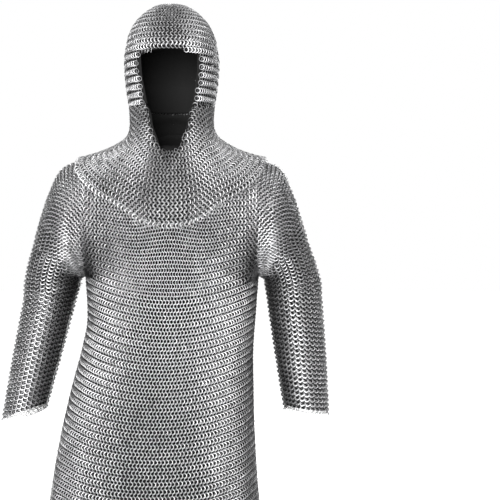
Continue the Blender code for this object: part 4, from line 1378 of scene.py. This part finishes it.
# %% Carry and list the panels
def carry(piece, node):
    """Makes a piece move with the body of its node, or sets it in place where it is."""
    word = node.split("_")[0]
    if node.startswith(("coif", "hood", "mantle")):
        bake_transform(piece)
    elif word in sleeves and "shoulder" not in node:
        sleeve = sleeves[word]
        centre = sleeve.middle(np.array(1 + UPPER_SLEEVE_LENGTH))
        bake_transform(piece)
    elif word in sleeves:
        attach(piece, f"{word}_sleeve")
    else:
        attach(piece, "shirt")


for node, rows in sorted(rings.parts.items()):
    look = border_steel if node in BRIGHT_PANELS else ring_steel
    look = shaded_mantle_steel if node in SHADED_PANELS else look
    piece = ring_panel(f"{node}_rings", rows, look)
    carry(piece, node)
    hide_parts(node)
    print(piece.name, len(piece.data.polygons) * 2, "triangles")

# %% [markdown]
# ## Black cloth behind the mail
#
# Seen through the rings the garment is black. A thin plain-woven cloth follows the mail on the inside.
# Each piece is a grid bent to the surface, moved inwards and given its thickness.

# %% Cloth material
WEAVE_STEP = 0.0011
CLOTH_COLOUR = (0.010, 0.010, 0.010, 1)
CLOTH_ROUGHNESS = 0.95
CLOTH_SHINE = 0.05
CLOTH_BUMP = (0.6, 0.0002)


def cloth_material():
    look, tree, shader = new_material("black_woven_cloth", Base_Color=CLOTH_COLOUR,
                                      Roughness=CLOTH_ROUGHNESS, Specular_IOR_Level=CLOTH_SHINE)
    place = add_node(tree, "TexCoord")
    both = add_node(tree, "Math", "MAXIMUM")
    for socket, direction in enumerate(("X", "Z")):
        threads = add_node(tree, "TexWave", Scale=1 / WEAVE_STEP / (2 * math.pi))
        threads.bands_direction = direction
        link(tree, place, "Object", threads, "Vector")
        link(tree, threads, "Fac", both, socket)
    add_bump(tree, both, 0, CLOTH_BUMP, shader)
    return look


black_cloth = cloth_material()

# %% [markdown]
# ## A sheet of cloth
#
# A tailor cuts cloth flat. We start from a flat grid too, and move each of its corners to its place under
# the mail. Corners that meet at a point are merged, and a modifier gives the cloth its thickness.

# %% Build the backing cloth
CLOTH_DEPTH = MAIL_THICK + SEAM_GAP
CLOTH_THICK = 0.0010
MERGE_DISTANCE = 1e-6


def cloth_sheet(name, surface, u, v, inside):
    """A sheet of cloth below a surface, over the grid u by v, where v may differ for each u."""
    if v.ndim == 1:
        u, v = np.meshgrid(u, v, indexing="ij")
    facing = outward_normals(surface, u, v, inside)
    points = surface(u, v) - facing * CLOTH_DEPTH
    columns, rows = points.shape[:2]
    mesh = bmesh.new()
    bmesh.ops.create_grid(mesh, x_segments=columns - 1, y_segments=rows - 1, size=1)
    for vert in mesh.verts:
        i = round((vert.co.x + 1) / 2 * (columns - 1))
        j = round((vert.co.y + 1) / 2 * (rows - 1))
        vert.co = points[i, j]
    bmesh.ops.remove_doubles(mesh, verts=mesh.verts[:], dist=MERGE_DISTANCE)
    mesh.normal_update()
    middle = Vector(points[columns // 2, rows // 2])
    face = min(mesh.faces, key=lambda f: (f.calc_center_median() - middle).length)
    if face.normal.dot(Vector(facing[columns // 2, rows // 2])) < 0:
        bmesh.ops.reverse_faces(mesh, faces=mesh.faces[:])
    area = sum(f.calc_area() for f in mesh.faces)
    data = bpy.data.meshes.new(name)
    mesh.to_mesh(data)
    mesh.free()
    data.materials.append(black_cloth)
    data.shade_smooth()
    made = show(name, data)
    thick = made.modifiers.new("cloth_thickness", "SOLIDIFY")
    thick.thickness = CLOTH_THICK
    thick.offset = -1
    width = path_length(points[:, rows // 2])
    length = path_length(points[columns // 2])
    print(name, "%.3f m2, %.2f by %.2f m" % (area, width, length))
    return made, area, width, length


def hang(node, surface, u, v, inside):
    """Makes the cloth of a node, says how it moves and hides the plain part it replaces."""
    piece, area, width, length = cloth_sheet(f"{node}_cloth", surface, u, v, inside)
    carry(piece, node)
    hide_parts(node)


def hang_sides(node, surface, start, end, columns, levels, inside):
    """Hangs a sheet on the right, from turns beside the face opening to an end, and its mirror image."""
    turns = mix(start, end, np.linspace(0, 1, columns)[:, None])
    levels = np.broadcast_to(levels, turns.shape)
    for side, sheet in (("right", turns), ("left", 1 - turns)):
        hang(node.format(side=side), surface, sheet, levels, inside)

# %% [markdown]
# ## Cloth of the shirt
#
# The shirt's cloth is cut at the level of the armpits. The lower cloth starts a little above that line and
# the upper one a little below the rings that hide the seam, so no gap shows through the mail.

# %% Hang the shirt's cloth
BODY_GRID = (48, 30)
CHEST_ROWS = 30
SEAM_LAP = 0.014
SEAM_SKIP = 0.025
BODY_MIDDLE = np.array([0.0, BODY_SET_BACK, -ARMHOLE_DROP - ARMHOLE_RADIUS - SKIRT_LENGTH / 2])
CHEST_MIDDLE = np.array([0.0, BODY_SET_BACK, -ARMHOLE_DROP])


def neckline_angle(x, back):
    """Slice angle where the neck hole starts, or 90 degrees outside it."""
    reach = np.where(back, NECK_BACK_REACH, NECK_FRONT_REACH)

    def outside(angle):
        y = shoulder_slice(x, angle, back)[..., 1]
        return (x / NECK_HALF_WIDTH) ** 2 + ((y - NECK_MIDDLE) / reach) ** 2 >= 1

    return halved(outside, np.zeros_like(x), np.full_like(x, math.pi / 2))[1]


def upper_shirt(x, rise, back):
    x, rise = np.broadcast_arrays(x, rise)
    back = np.full(x.shape, back)
    return shoulder_slice(x, mix(-math.pi / 2, neckline_angle(x, back), rise), back)


def hang_shirt():
    border = 1 - BORDER_WIDTH / SKIRT_LENGTH
    downs = np.linspace(-SEAM_LAP, border, BODY_GRID[1])
    rises = np.linspace(SEAM_SKIP, 1, CHEST_ROWS)
    for place, low in (("front", 0.5), ("back", 0.0)):
        turns = np.linspace(low, low + 0.5, BODY_GRID[0])
        upper = functools.partial(upper_shirt, back=place == "back")
        hang(f"backing_body_{place}", body_point, turns, downs, BODY_MIDDLE)
        hang(f"backing_upper_{place}", upper, across_body(turns), rises, CHEST_MIDDLE)


hang_shirt()

# %% [markdown]
# ## Cloth of the sleeves
#
# Each sleeve is lined in an outer and an inner half, from the armhole to the elbow and from there to the
# cuff.

# %% Line the sleeves
SLEEVE_AROUND = 22
SHOULDER_STEPS = 26
ELBOW_STEPS = (8, 14)


def line_sleeve(sleeve):
    bend = 1 + UPPER_SLEEVE_LENGTH
    cuff = 1 + sleeve.length - BORDER_WIDTH
    over = stepped(0, (1, SHOULDER_STEPS), (bend, ELBOW_STEPS[0]))
    for half, low in (("outer", -0.25), ("inner", 0.25)):
        turns = np.linspace(low, low + 0.5, SLEEVE_AROUND)
        for level, levels in (("upper", over), ("lower", np.linspace(bend, cuff, ELBOW_STEPS[1]))):
            inside = sleeve.middle(levels[len(levels) // 2])
            hang(f"{sleeve.word}_backing_{level}_{half}", sleeve.point, turns, levels, inside)


for sleeve in sleeves.values():
    line_sleeve(sleeve)

# %% [markdown]
# ## Cloth of the hood
#
# The hood is lined panel by panel. Its cheeks start at the edge of the face opening.

# %% Line the hood
HEAD_MIDDLE = np.array([0.0, 0.0, BROW_CORNER_HEIGHT])
CHEEK_GRID = (20, 20)
TEMPLE_ROWS = 10
NAPE_COLUMNS = 22
BROW_GRID = (24, 14)
CROWN_GRID = (65, 24)


def face_turn(height):
    """Turn at which the hood starts beside the face opening."""
    low = np.minimum(height, BROW_CORNER_HEIGHT)
    share = np.clip(face_half_width(low) / head_sizes(low)[0], 0, 1)
    return np.arcsin(share ** (HEAD_ROUNDNESS / 2)) / (2 * np.pi)


def line_hood():
    heights = stepped(TURN_HEIGHT, (BROW_CORNER_HEIGHT, CHEEK_GRID[1]), (CROWN_HEIGHT, TEMPLE_ROWS))
    hang_sides("hood_backing_{side}_cheek", head_point, face_turn(heights), CHEEK_SHARE, CHEEK_GRID[0],
               heights, HEAD_MIDDLE)
    nape = np.linspace(CHEEK_SHARE, 1 - CHEEK_SHARE, NAPE_COLUMNS)
    hang("hood_backing_nape", head_point, nape, heights, HEAD_MIDDLE)
    corner = float(face_turn(np.array([BROW_CORNER_HEIGHT]))[0])
    brow = np.linspace(-corner, corner, BROW_GRID[0])
    lowest = mix(BROW_HEIGHT, BROW_CORNER_HEIGHT, (brow / corner) ** 2)
    brow_levels = mix(lowest[:, None], CROWN_HEIGHT, np.linspace(0, 1, BROW_GRID[1]))
    brow_turns = np.broadcast_to(brow[:, None], brow_levels.shape)
    hang("hood_backing_brow", head_point, brow_turns, brow_levels, HEAD_MIDDLE)
    around = np.linspace(0, 1, CROWN_GRID[0])
    over = HEAD_RISE - (HEAD_RISE - CROWN_HEIGHT) * np.linspace(1, 0, CROWN_GRID[1]) ** 2
    hang("hood_backing_crown", head_point, around, over, HEAD_MIDDLE)


line_hood()

# %% [markdown]
# ## Cloth of the mantle
#
# The mantle's cloth ends a border's width above its edge, where the mail hangs free.

# %% Line the mantle
MANTLE_GRID = (32, 32)
MANTLE_BACK_COLUMNS = 40
OPENING_TURN_LIMIT = 0.2
TURN_TOLERANCE = 1e-6


def opening_turn(down):
    """Turn at which the mantle starts beside the point of the face opening."""
    def in_opening(turn):
        point = mantle.point(turn, down)
        return np.abs(point[..., 0]) < face_half_width(point[..., 2])

    low, high = halved(in_opening, np.zeros_like(down), np.full_like(down, OPENING_TURN_LIMIT))
    return np.where(low > TURN_TOLERANCE, high, 0.0)


def line_mantle():
    downs = np.linspace(STEP, 1 - BORDER_WIDTH / mantle.lengths[0], MANTLE_GRID[1])
    hang_sides("mantle_backing_front_{side}", settled, opening_turn(downs), MANTLE_SIDE_SHARE,
               MANTLE_GRID[0], downs, MANTLE_MIDDLE)
    back = np.linspace(MANTLE_SIDE_SHARE, 1 - MANTLE_SIDE_SHARE, MANTLE_BACK_COLUMNS)
    hang("mantle_backing_back", settled, back, downs, MANTLE_MIDDLE)


line_mantle()

# %% [markdown]
# ## Light and ground
#
# Steel shows what surrounds it, so the light matters as much as the material. A grey room lights the
# wires from all round, and a soft panel on each side and above gives them bright lines. The floor glows
# for the camera only: little near the shirt, where it keeps the shadow, and fully far away, where it meets
# the white background.

# %% Set up the studio
FLOOR_DROP = 0.006
FLOOR_SIZE = 20.0
FLOOR_ROUGHNESS = 0.9
FLOOR_GREY = 0.2
NEAR_GLOW = 0.22
FAR_GLOW = 1.0
GLOW_REACH = (0.5, 1.2)
ROOM_LIGHT = 0.42


def white_floor():
    """A pale matt material that glows a little where the camera sees it."""
    look, tree, shader = new_material("pale_floor", Base_Color=(FLOOR_GREY, FLOOR_GREY, FLOOR_GREY, 1),
                                      Roughness=FLOOR_ROUGHNESS, Emission_Color=(1, 1, 1, 1))
    away = add_node(tree, "VectorMath", "LENGTH")
    link(tree, add_node(tree, "TexCoord"), "Object", away, 0)
    reach = add_node(tree, "MapRange", From_Min=GLOW_REACH[0], From_Max=GLOW_REACH[1],
                     To_Min=NEAR_GLOW, To_Max=FAR_GLOW)
    link(tree, away, "Value", reach, "Value")
    glow = add_node(tree, "Math", "MULTIPLY")
    link(tree, add_node(tree, "LightPath"), "Is Camera Ray", glow, 0)
    link(tree, reach, "Result", glow, 1)
    link(tree, glow, 0, shader, "Emission Strength")
    return look


floor_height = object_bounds()[0].z - FLOOR_DROP
mesh = bmesh.new()
bmesh.ops.create_grid(mesh, x_segments=1, y_segments=1, size=FLOOR_SIZE,
                      matrix=Matrix.Translation((0, 0, floor_height)))
data = bpy.data.meshes.new("floor")
mesh.to_mesh(data)
mesh.free()
data.materials.append(white_floor())
show("floor", data)

# %% [markdown]
# ## Room and panels of light
#
# The camera sees white where the rings see a grey room. Each soft panel is aimed at the garment.

# %% Light the room and hang the panels
world = bpy.data.worlds.new("pale_room")
bpy.context.scene.world = world
world.use_nodes = True
sky = world.node_tree
room = sky.nodes["Background"]
set_inputs(room, {"Color": (1, 1, 1, 1), "Strength": ROOM_LIGHT})
white = add_node(sky, "Background", Color=(1, 1, 1, 1), Strength=1.0)
choose = add_node(sky, "MixShader")
link(sky, add_node(sky, "LightPath"), "Is Camera Ray", choose, "Fac")
link(sky, room, "Background", choose, 1)
link(sky, white, "Background", choose, 2)
link(sky, choose, "Shader", sky.nodes["World Output"], "Surface")

# Name, place, aim, size and power of each soft panel of light
PANELS = (
    ("key_panel", (-0.5, -3.2, 0.2), (0, 0, -0.25), 1.7, 255),
    ("back_panel", (0.8, 3.2, 0.6), (0, 0, -0.25), 1.7, 170),
    ("left_panel", (-3.2, 0.6, 0.4), (0, 0, -0.3), 1.4, 60),
    ("right_panel", (3.2, 0.4, 0.4), (0, 0, -0.3), 1.4, 60),
    ("top_panel", (0.2, -0.8, 2.6), (0, 0, 0), 1.4, 12),
)
for name, place, aim, size, power in PANELS:
    lamp = bpy.data.lights.new(name, "AREA")
    lamp.size = size
    lamp.energy = power
    made = show(name, lamp)
    made.location = place
    made.rotation_euler = (Vector(aim) - Vector(place)).to_track_quat("-Z", "Y").to_euler()

# %% [markdown]
# ## Finish
#
# The colours are shown with Blender's standard view transform.

# %% Finish
bpy.context.scene.view_settings.view_transform = "Standard"
